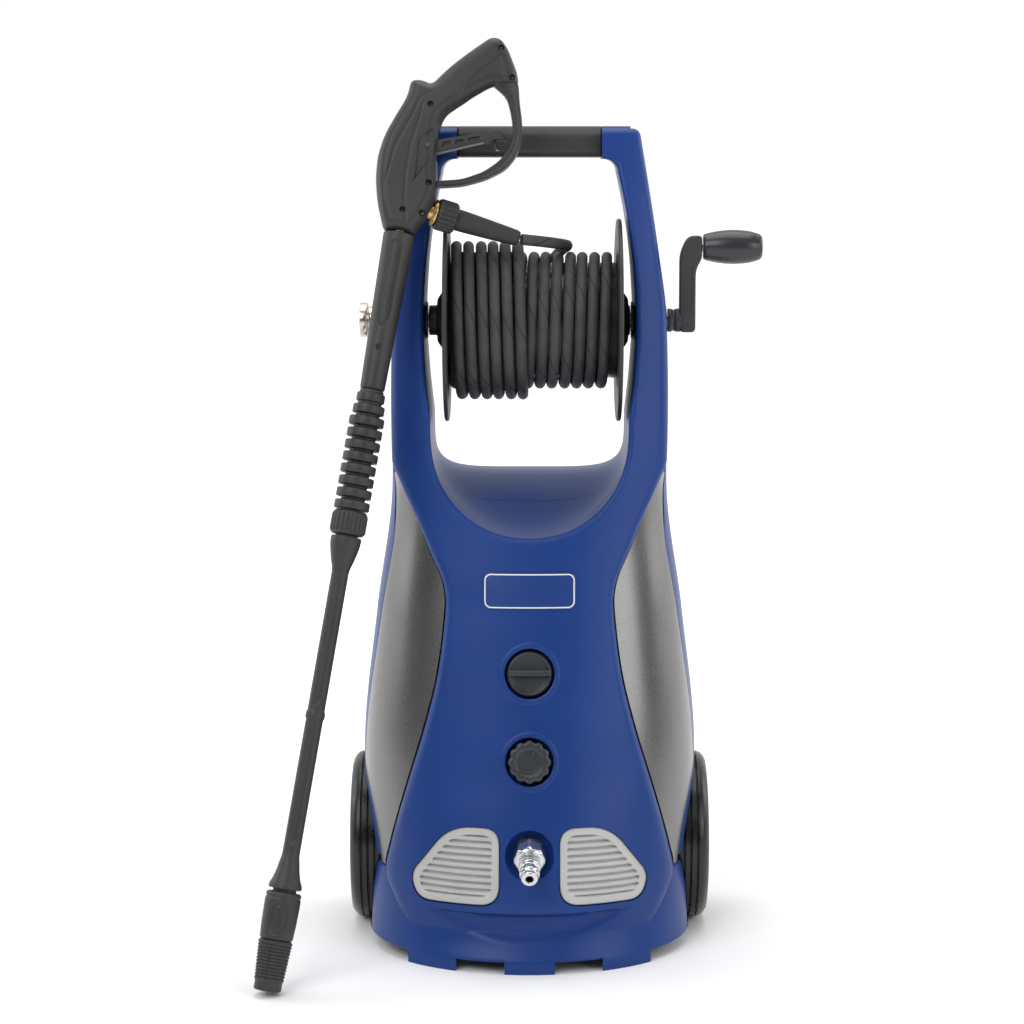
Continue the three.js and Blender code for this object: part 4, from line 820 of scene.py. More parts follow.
def badge_plate():
    """A blank badge: a rounded rectangle that follows the front surface, 1.2 mm thick."""
    corners = [[u * BADGE_HALF, BADGE_Z + v * BADGE_HIGH / 2] for u, v in ((-1, -1), (1, -1), (1, 1), (-1, 1))]
    v = np.linspace(-1, 1, 40)[:, None]
    u = np.linspace(-1, 1, 90)[None, :]
    # a square grid pressed into a rounded rectangle: each row is shortened near the top and bottom
    corner = 6.0
    z = v * BADGE_HIGH / 2
    short = np.maximum(np.abs(z) - (BADGE_HIGH / 2 - corner), 0)
    half = BADGE_HALF - corner + np.sqrt(np.maximum(corner**2 - short**2, 0))
    x, zz = u * half, BADGE_Z + z + 0 * u
    line = rounded(corners, corner, closed=True, steps=8)
    far = outline_distance(x, zz, line)
    edge = 0.5 * smoothstep(far, 0.0, 0.8)
    front = face_y(x, zz) - 1.1 - edge
    back = face_y(x, zz) - 0.3
    return both_faces("badge_plate", x, front, back, zz)


# ---------------------------------------------------------------- gun's own frame

GUN_X = np.array([1, 0, 0]) - GUN_UP[0] * GUN_UP
GUN_X = GUN_X / np.linalg.norm(GUN_X)
GUN_Y = np.cross(GUN_UP, GUN_X)
GUN_MATRIX = matrix_of(np.stack([GUN_X, GUN_Y, GUN_UP], -1), GUN_ORIGIN)
HOSE_TURN = np.array(Vector((0, 1, 0)).rotation_difference(Vector(HOSE_DIR).normalized()).to_matrix())
# Angles of the lance's front and back.
LANCE_FACES = (-math.pi / 2, math.pi / 2)


def in_gun(points):
    """Points of the gun's frame (right, through, up the lance) in the row frame."""
    return points @ np.stack([GUN_X, GUN_Y, GUN_UP]) + GUN_ORIGIN


def beside_hose(points):
    """Points about the Y axis, turned to the hose connection's axis, in the gun's frame."""
    return points @ HOSE_TURN.T + [0, 0, HOSE_AXIS_Z]


def on_hose(points):
    """Points about the Y axis, turned to the hose connection's axis and moved into the gun."""
    return in_gun(beside_hose(points))


def lobed(count, depth, low, high):
    """A radius with count waves round it, depth deep, between two heights."""

    def shape(angle, radius, height):
        here = smoothstep(height, low, low + 1) * (1 - smoothstep(height, high - 1, high))
        return radius - depth * here * (0.5 + 0.5 * np.cos(count * angle)) ** 2

    return shape


def slotted(angle0, half_angle, low, high, depth, inner=0.0):
    """A radius with a shallow slot on one side: depth deep within half_angle of angle0, with soft round ends."""

    def shape(angle, radius, height):
        off = np.abs((angle - angle0 + np.pi) % (2 * np.pi) - np.pi) * radius
        half = half_angle * radius
        reach = np.maximum(np.maximum(low + half - height, height - high + half), 0)
        far = np.sqrt(off**2 + reach**2)
        mask = 1 - smoothstep(far, half - 0.7, half + 0.5)
        if inner:
            mask = mask - (1 - smoothstep(far, half * inner - 0.6, half * inner + 0.6)) * 0.8
        return radius - depth * mask

    return shape


def slots(*each):
    """Slots in the lance's front and back; each is given as to slotted, without its angle."""
    made = [slotted(angle, *one) for one in each for angle in LANCE_FACES]

    def shape(angle, radius, height):
        for one in made:
            radius = one(angle, radius + 0 * angle, height + 0 * angle)
        return radius

    return shape


def swollen(name, outline, height, step, extra):
    """Two faces over one outline, each a height of the point's place and its distance from the outline, meeting
    along the outline. The points are a square grid with rows that follow the edge."""
    run = np.roll(outline, -1, 0) - np.roll(outline, 1, 0)
    area = np.sum(outline[:, 0] * np.roll(outline[:, 1], -1) - np.roll(outline[:, 0], -1) * outline[:, 1])
    normal = np.stack([-run[:, 1], run[:, 0]], -1) / np.maximum(np.linalg.norm(run, axis=1), 1e-9)[:, None]
    normal *= np.sign(area)
    low, high = outline.min(0), outline.max(0)
    grid = np.stack(np.meshgrid(np.arange(low[0], high[0], step), np.arange(low[1], high[1], step)), -1).reshape(-1, 2)
    rows = [grid]
    keep = [7.0 + step * 0.3]
    for deep in (0.12, 0.5, 1.2, 2.2, 3.6, 5.4, 7.0):
        rows.append(outline + normal * deep)
        keep.append(deep * 0.88)
    for centre, radii in extra:
        angle = np.linspace(0, 2 * np.pi, 24, endpoint=False)
        rows += [centre + r * polar(angle) for r in radii]
        keep += [0.6] * len(radii)
    inner = []
    for points, least in zip(rows, keep):
        far = outline_distance(points[:, 0], points[:, 1], outline)
        ok = inside(points[:, 0], points[:, 1], outline) & (far >= least)
        inner.append(points[ok])
    for centre, radii in extra:
        inner[0] = inner[0][np.linalg.norm(inner[0] - centre, axis=1) > max(radii) + step * 0.5]
    flat = np.vstack([outline, *inner])
    count = len(outline)
    edges = [(i, (i + 1) % count) for i in range(count)]
    made = delaunay_2d_cdt([Vector(p) for p in flat.tolist()], edges, [], 1, 1e-4)
    at = np.array([list(v) for v in made[0]])
    triangles = np.array([face for face in made[2] if len(face) == 3])
    far = outline_distance(at[:, 0], at[:, 1], outline)
    far = np.where(far < 1e-3, 0, far)
    deep = height(at[:, 0], at[:, 1], far)
    front = np.stack([at[:, 0], -deep, at[:, 1]], -1)
    back = np.stack([at[:, 0], deep, at[:, 1]], -1)
    points = np.vstack([front, back])
    faces = np.vstack([triangles, triangles[:, ::-1] + len(at)])
    return mesh_object(name, points, faces.tolist())


def gun_height(x, z, far):
    """Half thickness of the gun body: an ellipse across its edge, thinner towards the hook, with screw pockets
    and a sunk side panel."""
    thick = 16.9 - 4.6 * smoothstep(z, 925, 975)
    swell = 12.0
    t = 1 - np.minimum(far / swell, 1)
    deep = thick * np.sqrt(np.maximum(1 - t**2.2, 0))
    for sunk, outline in ((2.0, GUN_LEAF), (1.1, GUN_GRIP_PANEL)):
        into = np.where(inside(x, z, outline), outline_distance(x, z, outline), 0)
        deep = deep - sunk * smoothstep(into, 0.0, 1.0)
    for cut_in, line in ((0.8, GUN_SEAM), (0.5, GUN_SPINE)):
        near = outline_distance(x, z, np.vstack([line, line[::-1]]))
        deep = deep - cut_in * np.exp(-((near / 0.8) ** 2)) * (deep > 4)
    for sx, sz in GUN_SCREWS:
        r = np.hypot(x - sx, z - sz)
        deep = np.where(r < 3.4, np.minimum(deep, deep - 5.0 * (1 - smoothstep(r, 2.4, 3.3)) * (deep > 6)), deep)
    return np.maximum(deep, 0)


def guard_band():
    """The trigger guard: superellipse sections between its inner and outer lines, with a shallow channel along
    each side."""
    inner = even(rounded(np.vstack([[[12, 847]], GUARD_IN, [[66, 958]]]), 7, steps=5), 96)
    outer = even(rounded(np.vstack([[[12, 838.5]], GUARD_OUT[::-1], [[84, 970]]]), 7, steps=5), 96)
    a = np.linspace(0, 2 * np.pi, 36, endpoint=False)
    across = power(np.cos(a), 0.5)
    thick = 8.0 * power(np.sin(a), 0.4) * (1 - 0.2 * np.exp(-((across / 0.62) ** 6)))
    flat = (inner + outer)[:, None] / 2 + (outer - inner)[:, None] / 2 * across[None, :, None]
    return skin("guard", np.stack([flat[..., 0], np.broadcast_to(thick, flat.shape[:2]), flat[..., 1]], -1))


def gun_body():
    """Both halves of the gun's shell, cut apart along its middle plane."""
    outline = even(np.vstack([line := rounded(GUN_BODY, 9, closed=True, steps=6), line[:1]]), 420)[:-1]
    extra = [(centre, (3.6, 3.3, 3.0, 2.6, 2.2, 1.2)) for centre in GUN_SCREWS]
    body = swollen("gun", outline, gun_height, 1.2, extra)
    body = joined(body, guard_band())
    well = rod("z", 9.4, 785, 867, sides=40)
    mouth = [[0, 0], [8.5, 0], [8.5, 29], [15.2, 29], [15.2, 60], [0, 60]]
    mouth = turned("tool", "y", mouth, sides=64, place=beside_hose)
    slot = rounded([[3, 866], [3, 893], [27, 899], [40, 899], [40, 866]], 1.5, True, 3)
    slot = plate("tool", slot, -6.8, 6.8, 0, steps=1)
    body = cut(body, well, mouth, slot)
    halves = []
    for name, low, high in (("gun_half_front", -60, -0.15), ("gun_half_back", 0.15, 60)):
        half = body.copy()
        half.data = body.data.copy()
        half.name = name
        bpy.context.scene.collection.objects.link(half)
        half = largest(common(half, block((-200, low, 700), (300, high, 1100))))
        half.data.transform(GUN_MATRIX)
        halves.append(half)
    bpy.data.objects.remove(body)
    return halves


def trigger_lever():
    """The trigger: a plate with rounded edges, a row of pockets in each side, and a slot for its catch."""
    lever = plate("trigger_lever", rounded(TRIGGER_LINE, 2.4, True, 5), -6.1, 6.1, 1.4)
    slot = block((70, -2.7, 879.5), (92, 2.7, 905.5))
    hole = rod("y", 2.7, -30, 30, (TRIGGER_PIVOT[0], 0, TRIGGER_PIVOT[1]), 24)
    room = block((75.1, -4.5, 897.1), (82.9, 4.5, 904.9))
    tools = [slot, hole, room]
    for near, far in ((-9, -3.9), (3.9, 9)):
        tools += [plate("tool", rounded(pocket, 1.6, True, 4), near, far, 0, steps=1) for pocket in TRIGGER_POCKETS]
    lever = largest(cut(lever, *tools))
    lever.data.transform(GUN_MATRIX)
    return lever


def catch_lever():
    """The trigger's catch: a round head, a thin leg and its pin."""
    (x, z), (tx, tz) = LOCK_PIVOT, LOCK_TIP
    leg = rounded([[x - 2.6, z], [x + 2.9, z], [tx + 1.4, tz], [tx - 2, tz]], 0.9, True, 4)
    leg = plate("catch_lever", leg, -2.2, 2.2, 0.5)
    head = turned("tool", "y", rounded([[0, -2.2], [3.4, -2.2], [3.4, 2.2], [0, 2.2]], 0.5, steps=3), (x, 0, z), 32)
    leg = joined(leg, head, rod("y", 1.2, -4.2, 4.2, (x, 0, z), 20))
    leg.data.transform(GUN_MATRIX)
    return leg


# ---------------------------------------------------------------- cords


def tube(name, line, radius, sides=16):
    """A round section carried along a line. The section's first axis points away from the reel's own axis, and its
    UV map is the length along the line in metres and the turn round it."""
    run = np.gradient(line, axis=0)
    run /= np.linalg.norm(run, axis=1)[:, None]
    out = line - np.array(REEL_LINE, float)
    out[:, 0] = 0
    out -= np.sum(out * run, 1)[:, None] * run
    out /= np.linalg.norm(out, axis=1)[:, None]
    side = np.cross(run, out)
    angle = np.linspace(0, 2 * np.pi, sides, endpoint=False)
    ring = np.cos(angle)[None, :, None] * out[:, None] + np.sin(angle)[None, :, None] * side[:, None]
    rings = line[:, None] + radius * ring
    far = np.concatenate([[0], np.cumsum(np.linalg.norm(np.diff(line, axis=0), axis=1))]) / 1000
    uv = np.stack(np.broadcast_arrays(far[:, None], np.linspace(0, 1, sides + 1)[None, :]), -1)
    return skin(name, rings, uv=uv)


def coil_line(per_turn=30):
    """The wound hose: a helix of 12.7 turns to the left on the drum, half a turn that climbs, 5.5 turns back to
    the right on top of it, and half a turn that drifts right to where the hose leaves."""
    left, right = -79.25, 86.25
    first = (right - left) / HOSE_PITCH
    turns = np.array([0, 0.12, first, first + 0.45, first + 5.95, first + 6.45])
    count = int(turns[-1] * per_turn)
    t = np.linspace(0, turns[-1], count)
    end = math.atan2(HOSE_LEAD[-1, 2] - REEL_Z, HOSE_LEAD[-1, 1] - REEL_Y)
    phi = end + 2 * np.pi * (t - turns[-1])
    inner = CORE_R + HOSE_D / 2 + 0.1
    outer = inner + HOSE_D - 0.2
    last = math.hypot(HOSE_LEAD[-1, 2] - REEL_Z, HOSE_LEAD[-1, 1] - REEL_Y)
    climb, leave = smoothstep(t, turns[2], turns[3]), smoothstep(t, turns[4], turns[5])
    radius = inner + (outer - inner) * climb + (last - outer) * leave
    radius = radius - 11 * (1 - smoothstep(t, 0, turns[1] + 0.1))
    low = left + 5.5 * HOSE_PITCH
    x = np.interp(t, turns[:5], [right, right - HOSE_PITCH * 0.12, left, left, low])
    s = np.clip((t - turns[4]) / (turns[5] - turns[4]), 0, 1)
    span = turns[5] - turns[4]
    m0, m1 = HOSE_PITCH * span, 225.0 * span
    drift = (2 * s**3 - 3 * s**2 + 1) * low + (s**3 - 2 * s**2 + s) * m0
    drift += (3 * s**2 - 2 * s**3) * HOSE_LEAD[-1, 0] + (s**3 - s**2) * m1
    x = np.where(t > turns[4], drift, x)
    # small unevenness, as a hose lies that was wound by hand
    x = x + 0.35 * np.sin(2.1 * t + 0.6) * smoothstep(t, 0.5, 1.5) * (1 - leave)
    return np.stack([x, REEL_Y + radius * np.cos(phi), REEL_Z + radius * np.sin(phi)], -1)


# ---------------------------------------------------------------- finishes


class Value:
    """A socket that takes part in sums. Each operator adds one Math node."""

    def __init__(self, graph, socket):
        self.graph = graph
        self.socket = socket

    def math(self, operation, *others):
        """This value and others through one Math node."""
        return self.graph.sum(operation, self, *others)

    def __add__(self, other):
        return self.math("ADD", other)

    def __sub__(self, other):
        return self.math("SUBTRACT", other)

    def __rsub__(self, other):
        return self.graph.sum("SUBTRACT", other, self)

    def __mul__(self, other):
        return self.math("MULTIPLY", other)

    def __abs__(self):
        return self.math("ABSOLUTE")

    __radd__ = __add__
    __rmul__ = __mul__


class Graph:
    """A tree of shader nodes."""

    def __init__(self, tree, coords):
        self.tree = tree
        self.tree.nodes.clear()
        self.coords = self.node("ShaderNodeTexCoord", out=coords)

    def node(self, kind, settings=None, out=0, **inputs):
        """Any node: its settings first, then the values or links of its sockets, named or as n0, n1 by number."""
        node = self.tree.nodes.new(kind)
        for key, value in (settings or {}).items():
            setattr(node, key, value)
        for key, value in inputs.items():
            numbered = key[0] == "n" and key[1:].isdigit()
            socket = node.inputs[int(key[1:]) if numbered else key.replace("_", " ")]
            if isinstance(value, Value):
                self.tree.links.new(value.socket, socket)
            else:
                socket.default_value = value
        return Value(self, node.outputs[out])

    def sum(self, operation, *values):
        """A Math node."""
        return self.node("ShaderNodeMath", {"operation": operation}, **{f"n{i}": v for i, v in enumerate(values)})

    def mix(self, share, a, b):
        """Colour a where share is 0 and b where it is 1."""
        paint = [(*c, 1) if isinstance(c, (tuple, list)) and len(c) == 3 else c for c in (a, b)]
        return self.node("ShaderNodeMix", {"data_type": "RGBA"}, out=2, n0=share, n6=paint[0], n7=paint[1])

    def noise(self, scale, detail=2.0, rough=0.5, vector=None):
        """Fractal noise, about 0.5 in the mean."""
        where = vector or self.coords
        return self.node("ShaderNodeTexNoise", Vector=where, Scale=scale, Detail=detail, Roughness=rough)

    def ramp(self, value, low, high):
        """0 below low and 1 above high, with a straight line between."""
        return self.node("ShaderNodeMapRange", n0=value, n1=low, n2=high, n3=0.0, n4=1.0)

    def axis(self, name, vector=None):
        """One coordinate of a vector."""
        return self.node("ShaderNodeSeparateXYZ", out=name, Vector=vector or self.coords)

    def end(self, kind, surface):
        """The tree's output node."""
        self.tree.links.new(surface.socket, self.tree.nodes.new(kind).inputs["Surface"])


class Finish(Graph):
    """A material's graph."""

    def __init__(self, name):
        self.material = bpy.data.materials.new(name)
        self.material.use_nodes = True
        super().__init__(self.material.node_tree, "Object")

    def done(self, colour, roughness, metallic=0.0, bump=None, strength=0.0, distance=0.0, **fixed):
        """Links what varies to the shader and sets what doesn't on its own sockets."""
        inputs = {"Base_Color": (*colour, 1) if isinstance(colour, (tuple, list)) else colour,
                  "Roughness": roughness, "Metallic": metallic}
        if bump is not None:
            inputs["Normal"] = self.node("ShaderNodeBump", Strength=strength, Distance=distance, Height=bump)
        surface = self.node("ShaderNodeBsdfPrincipled", **inputs, **fixed)
        self.end("ShaderNodeOutputMaterial", surface)
        return self.material


def moulded(name, colour, roughness, grain, strength, blotch, **fixed):
    """Moulded plastic: fine spark grain, slow changes of shade and gloss, and a few faint scuffs."""
    f = Finish(name)
    slow = f.noise(9.0, 3.0, 0.55)
    fine = f.noise(grain, 2.0, 0.6)
    scuff = f.ramp(f.noise(38.0, 6.0, 0.7), 0.62, 0.74)
    dark = tuple(c * (1 - blotch) for c in colour)
    light = tuple(min(c * (1 + blotch), 1) for c in colour)
    tint = f.mix(f.ramp(slow, 0.35, 0.65), dark, light)
    tint = f.mix(scuff * 0.10, tint, tuple(min(1, c * 1.6 + 0.02) for c in colour))
    rough = roughness + (slow - 0.5) * 0.12 + scuff * 0.08 + (fine - 0.5) * 0.05
    return f.done(tint, rough, 0.0, fine, strength, 0.0002, **fixed)


def metal(name, colour, roughness, brushed=None, blotch=0.06):
    """Metal with fine marks; brushed stretches them along one axis."""
    f = Finish(name)
    stretch = f.node("ShaderNodeMapping", Vector=f.coords, Scale=brushed or (1.0, 1.0, 1.0))
    fine = f.noise(900.0 if brushed else 320.0, 3.0, 0.6, stretch)
    slow = f.noise(30.0, 3.0, 0.5)
    tint = f.mix(f.ramp(slow, 0.3, 0.7), tuple(c * (1 - blotch) for c in colour), colour)
    rough = roughness + (fine - 0.5) * 0.14 + (slow - 0.5) * 0.08
    return f.done(tint, rough, 1.0, fine, 0.08, 0.0002)


def hose_rubber(name):
    """Cloth-wrapped rubber: a faint spiral edge every 71 mm, fine weave marks and dusty patches, all on the hose's
    own UV map, so they follow it."""
    f = Finish(name)
    uv = f.node("ShaderNodeUVMap", {"uv_map": "UVMap"})
    far, turn = f.axis("X", uv), f.axis("Y", uv)
    wrap = (far * 14.0 + turn).math("FRACT")
    seam = 1 - f.ramp(abs(wrap - 0.5), 0.012, 0.03)
    weave = (far * 2400.0).math("SINE") * (turn * 226.0).math("SINE")
    dust = f.ramp(f.noise(26.0, 4.0, 0.6), 0.45, 0.75)
    fine = f.noise(700.0, 3.0, 0.65)
    base = f.mix(dust, (0.034, 0.0335, 0.033), (0.062, 0.061, 0.060))
    base = f.mix(seam * 0.85, base, (0.008, 0.008, 0.008))
    height = weave * 0.10 + fine * 0.8 - seam * 1.4
    return f.done(base, 0.62 + dust * 0.12 + (fine - 0.5) * 0.1, 0.0, height, 0.35, 0.0004)


def satin_panel(name, colour):
    """Metal-flake lacquer: fine flakes in colour and roughness under a clear coat."""
    f = Finish(name)
    flake = f.node("ShaderNodeTexVoronoi", {"feature": "F1"}, out="Color", Vector=f.coords, Scale=2200.0)
    shade = f.axis("X", flake)
    slow = f.noise(7.0, 3.0, 0.5)
    share = shade * 0.3 + f.ramp(slow, 0.3, 0.7) * 0.25
    tint = f.mix(share, tuple(c * 0.86 for c in colour), tuple(min(1, c * 1.12) for c in colour))
    rough = 0.30 + (shade - 0.5) * 0.10 + (slow - 0.5) * 0.08
    return f.done(tint, rough, 0.92, f.noise(1400.0, 2.0), 0.04, 0.0001, Coat_Weight=0.15, Coat_Roughness=0.2)


def badge_finish(name, blue, pale):
    """Blank badge: the casing's blue with one pale line along its edge, from the distance to a rounded box."""
    f = Finish(name)
    x = abs(f.axis("X")) - (BADGE_HALF - 8.0) / 1000
    z = abs(f.axis("Z") - BADGE_Z / 1000) - (BADGE_HIGH / 2 - 8.0) / 1000
    x, z = x.math("MAXIMUM", 0.0), z.math("MAXIMUM", 0.0)
    far = (x * x + z * z).math("SQRT")
    line = f.ramp(far, 0.0056, 0.0058) * (1 - f.ramp(far, 0.0069, 0.0071))
    return f.done(f.mix(line, blue, pale), 0.34 + line * 0.1, 0.0, f.noise(1500.0), 0.12, 0.0002)


def tyre_rubber(name):
    """Glossy moulded tyre: dark rubber with dull dust in patches and a fine grain."""
    f = Finish(name)
    dust = f.ramp(f.noise(34.0, 5.0, 0.65), 0.5, 0.8)
    fine = f.noise(850.0, 3.0, 0.6)
    tint = f.mix(dust, (0.0075, 0.0080, 0.0088), (0.022, 0.0215, 0.021))
    return f.done(tint, 0.27 + dust * 0.3 + (fine - 0.5) * 0.08, 0.0, fine, 0.25, 0.0003)


def floor_finish(name):
    """A pale studio floor with a barely visible mottle, and a painted glow that brightens it well behind the object."""
    f = Finish(name)
    slow = f.noise(3.0, 3.0)
    # painted glow: the floor gives off light of its own, none up to 0.45 m behind the object and full from 2.2 m
    painted_glow = f.mix(f.ramp(f.axis("Y"), 0.45, 2.2), (0.0, 0.0, 0.0), (0.55, 0.55, 0.55))
    tint = f.mix(slow, (0.90, 0.90, 0.905), (0.93, 0.93, 0.935))
    return f.done(tint, 0.7 + slow * 0.05, Emission_Color=painted_glow, Emission_Strength=1.0)


# ---------------------------------------------------------------- turned parts of the reel, wheels and lance


def wheel_centre(side):
    """Centre of the wheel on one side."""
    return (side * WHEEL_X, WHEEL_Y, WHEEL_R)


def tyre(side):
    """A tyre: barrel tread with four grooves, round shoulders and sunk side walls, turned about the axle."""
    w = WHEEL_WIDTH / 2
    h = np.linspace(-w, w, 220)
    r = WHEEL_R - 0.4 - 8.5 * np.abs(h / w) ** 5
    for groove in (-12.5, -5.0, 2.5, 10.0):
        r = r - 2.4 * np.exp(-(((h - side * groove) / 0.85) ** 4))
    tread = np.stack([r, h], -1)
    wall = rounded([[82.6, w], [81, w], [78, w - 1.4], [74, w - 3.2], [RIM_R, w - 4], [RIM_R, 4 - w], [74, 3.2 - w],
                    [78, 1.4 - w], [81, -w], [82.6, -w]], 1.4, steps=4)
    profile = np.vstack([tread, wall, tread[:1]])
    return turned(f"tyre_{side_name(side)}_fine", "x", profile, wheel_centre(side), 140)


def wheel(side):
    """A moulded wheel: rim, hub and a dished disc; eight spokes stand out where the disc is drawn back between."""
    bore, rim = AXLE_R + 0.5, RIM_R - 0.4
    profile = rounded([
        [bore, -16], [17, -16], [17, -4], [RIM_R - 7, -4], [RIM_R - 6, -18], [rim, -18], [rim, 18], [RIM_R - 6, 18],
        [RIM_R - 7.5, 5], [60, 4], [24, 4], [17, 5], [17, 12], [bore, 12], [bore, -16],
    ], 1.6, steps=4)
    profile[:, 1] *= side
    body = turned(f"wheel_{side_name(side)}_fine", "x", profile, wheel_centre(side), 120)
    spoke = np.array([[2, 15], [10.5, 15.4], [12.5, 40], [14.5, 64.5], [2, 64.5]]) * [side, 1]
    spoke = rounded(spoke, 1.5, True, 4)
    ribs = []
    for k in range(8):
        turn = about_x(2 * math.pi * k / 8)
        ribs.append(plate("spoke", spoke, -3.2, 3.2, 1.0, lambda p, turn=turn: p @ turn.T + wheel_centre(side)))
    return joined(body, *ribs)


def hub_cap(side):
    """A domed cap with a shallow ring groove."""
    profile = rounded([[0, 14.5], [15, 14.5], [15, 17], [12.4, 19.4], [11.4, 18.9], [10.6, 19.9], [5, 21.3], [0, 21.5]],
                      [0, 0.8, 1.2, 0.6, 0.4, 0.6, 2, 0], steps=4)
    profile[:, 1] *= side
    return turned(f"cap_{side_name(side)}_fine", "x", profile, wheel_centre(side), 64)


def flange(side):
    """A reel flange: thin dished disc with a beaded edge, concentric ribs and a stepped hub."""
    start = REEL_X + side * REEL_WIDTH / 2
    reach, bore = 107.2 - abs(start), REEL_AXLE_R + 0.3
    outer = [
        [bore, 0], [40, 0], [96, 0.1], [104, 0.2], [FLANGE_R - 1.2, 0.2], [FLANGE_R, 1.6], [FLANGE_R, 3.8],
        [FLANGE_R - 1.4, 5], [103.4, 4.8], [102, 3.2], [80, 3.4], [79, 4.6], [75, 4.6], [74, 3.5], [52, 4.6],
        [44, 5.2], [29, 8.2], [27.6, 9.6], [22.6, 12.8], [16, 13.2], [16, reach], [bore, reach], [bore, 0],
    ]
    profile = rounded(outer, 1.3, steps=4)
    profile[:, 1] = start + side * profile[:, 1]
    return turned(f"flange_{side_name(side)}_fine", "x", profile, REEL_LINE, 140)


def bush(side):
    """A reel bush with its flange against the arm."""
    bore, near, far = REEL_AXLE_R + 0.5, 108.2, 146.1
    profile = [[bore, near], [20, near], [20, 110.6], [BUSH_R, 110.9], [BUSH_R, far], [bore, far], [bore, near]]
    profile = rounded(profile, 0.7, steps=3)
    profile[:, 1] *= side
    return turned(f"bush_{side_name(side)}_fine", "x", profile, REEL_LINE, 72)


def crank_arm():
    """The crank's arm, a bar bent over at its top, with its hub on the reel's axle."""
    a, b, low, high = 160.0, 177.0, REEL_Z - 12.5, CRANK_TOP
    line = [[a, low], [b, low], [b, high - 24], [b + 6.5, high - 12], [b + 6.5, high + 12], [a + 9, high + 12],
            [a, high - 6]]
    line = even(np.vstack([line := rounded(line, [5, 5, 10, 3.2, 3.2, 9, 12], True, 7), line[:1]]), 160)[:-1]
    arm = plate("crank_bar", line, REEL_Y - 11, REEL_Y + 11, 2.2)
    panel = rounded([[a + 3.6, low + 24], [b - 3.6, low + 24], [b - 3.2, high - 22], [a + 5.0, high - 22]], 3, True, 5)
    sunk = plate("tool", panel, REEL_Y - 14, REEL_Y - 10.2, 0, steps=1)
    arm = cut(arm, sunk, rod("x", 4.8, b - 6, b + 18, CRANK_LINE, 32))
    hub = [[8.3, 147.5], [12.5, 147.5], [12.5, 151.5], [11.4, 152.5], [11.4, 155], [12.5, 156], [12.5, 161.5],
           [8.3, 161.5], [8.3, 147.5]]
    return joined(arm, turned("tool", "x", rounded(hub, 0.8, steps=3), REEL_LINE, 64))


def crank_knob():
    """A barrel handle, hollow for its spindle, with two shallow rings and a domed end."""
    hole = 5.0
    profile = [[hole, 0], [13, 0], [14.5, 3], [17.4, 17], [18.6, 33], [17.2, 49], [14, 60], [11, 63], [0, 63], [0, 59],
               [hole, 59], [hole, 0]]
    profile = rounded(profile, [0, 1, 2, 8, 10, 8, 4, 2, 0, 0, 0, 0], steps=7)
    profile[:, 1] += 185

    def rings(angle, radius, height):
        grooves = sum(np.exp(-(((height - at) / 0.5) ** 2)) for at in (190.5, 242.5))
        return radius - 0.5 * grooves * (radius > 9) + 0 * angle

    return turned("crank_handle", "x", profile, CRANK_LINE, 80, rings)


def swivel():
    """The reel's swivel coupling: stacked rings on a hollow end."""
    profile = [[0, -100], [4.5, -100], [4.5, -146.6], [17, -146.6], [17, -151], [11, -153], [11, -159], [22.5, -160],
               [22.5, -165], [15, -167], [15, -172], [19, -173], [19, -181], [9, -181], [9, -170], [0, -170]]
    return turned("swivel_rings", "x", rounded(profile, 1.1, steps=4), REEL_LINE, 90)


def ribbed(low, high, radii, bottom):
    """A profile of rings between two heights: each one's radius for a share of the pitch, the root's after it."""
    pitch, fill = (high - low) / len(radii), 0.68
    points = []
    for k, r in enumerate(radii):
        start = low + pitch * k
        points += [[r, start], [r, start + pitch * fill]]
        points += [[bottom, start + pitch * (fill + 0.06)], [bottom, start + pitch * 0.98]]
    return points


def nozzle_cuff():
    """The turning cuff at the lance's tip: a plain lip, then fine rings that grow, grooved along the lance."""
    points = [[6.4, 0.2], [12.2, 0.2], [14, 1.6], [14, 10]]
    for k in range(12):
        z = 11.4 + 3.3 * k
        r = 14.6 + 0.21 * k
        points += [[r + 0.5, z], [r + 0.5, z + 2.0], [r - 0.5, z + 2.4], [r - 0.5, z + 3.1]]
    points += [[16.6, 51.4], [6.4, 51.4], [6.4, 0.2]]
    fine = rounded(points, 0.5, steps=3)
    return turned("cuff_fine", "z", fine, sides=110, shape=lobed(22, 0.7, 10, 50), place=in_gun)


def nozzle_head():
    """The head behind the cuff: a smooth barrel with a sunk thumb pad and two ring grooves."""
    points = [[6.4, 52], [15.6, 52], [16.8, 53.4], [17.6, 66], [18.1, 84], [18.1, 93], [17.2, 94], [17.2, 95.4],
              [18, 96.4], [17.6, 98.6], [16, 100], [12.6, 100], [12.6, 97], [6.4, 97], [6.4, 52]]
    pad = slotted(LANCE_FACES[0], 0.52, 57, 91, 1.1, 0.45)
    fine = fine_steps(rounded(points, 0.8, steps=4), 1.2)
    return turned("head_fine", "z", fine, sides=110, shape=pad, place=in_gun)


def fine_steps(profile, step):
    """The same profile with points no more than step apart."""
    out = [profile[:1]]
    for a, b in zip(profile[:-1], profile[1:]):
        n = max(1, int(np.linalg.norm(b - a) / step))
        out.append(a + (b - a) * (np.arange(1, n + 1) / n)[:, None])
    return np.vstack(out)


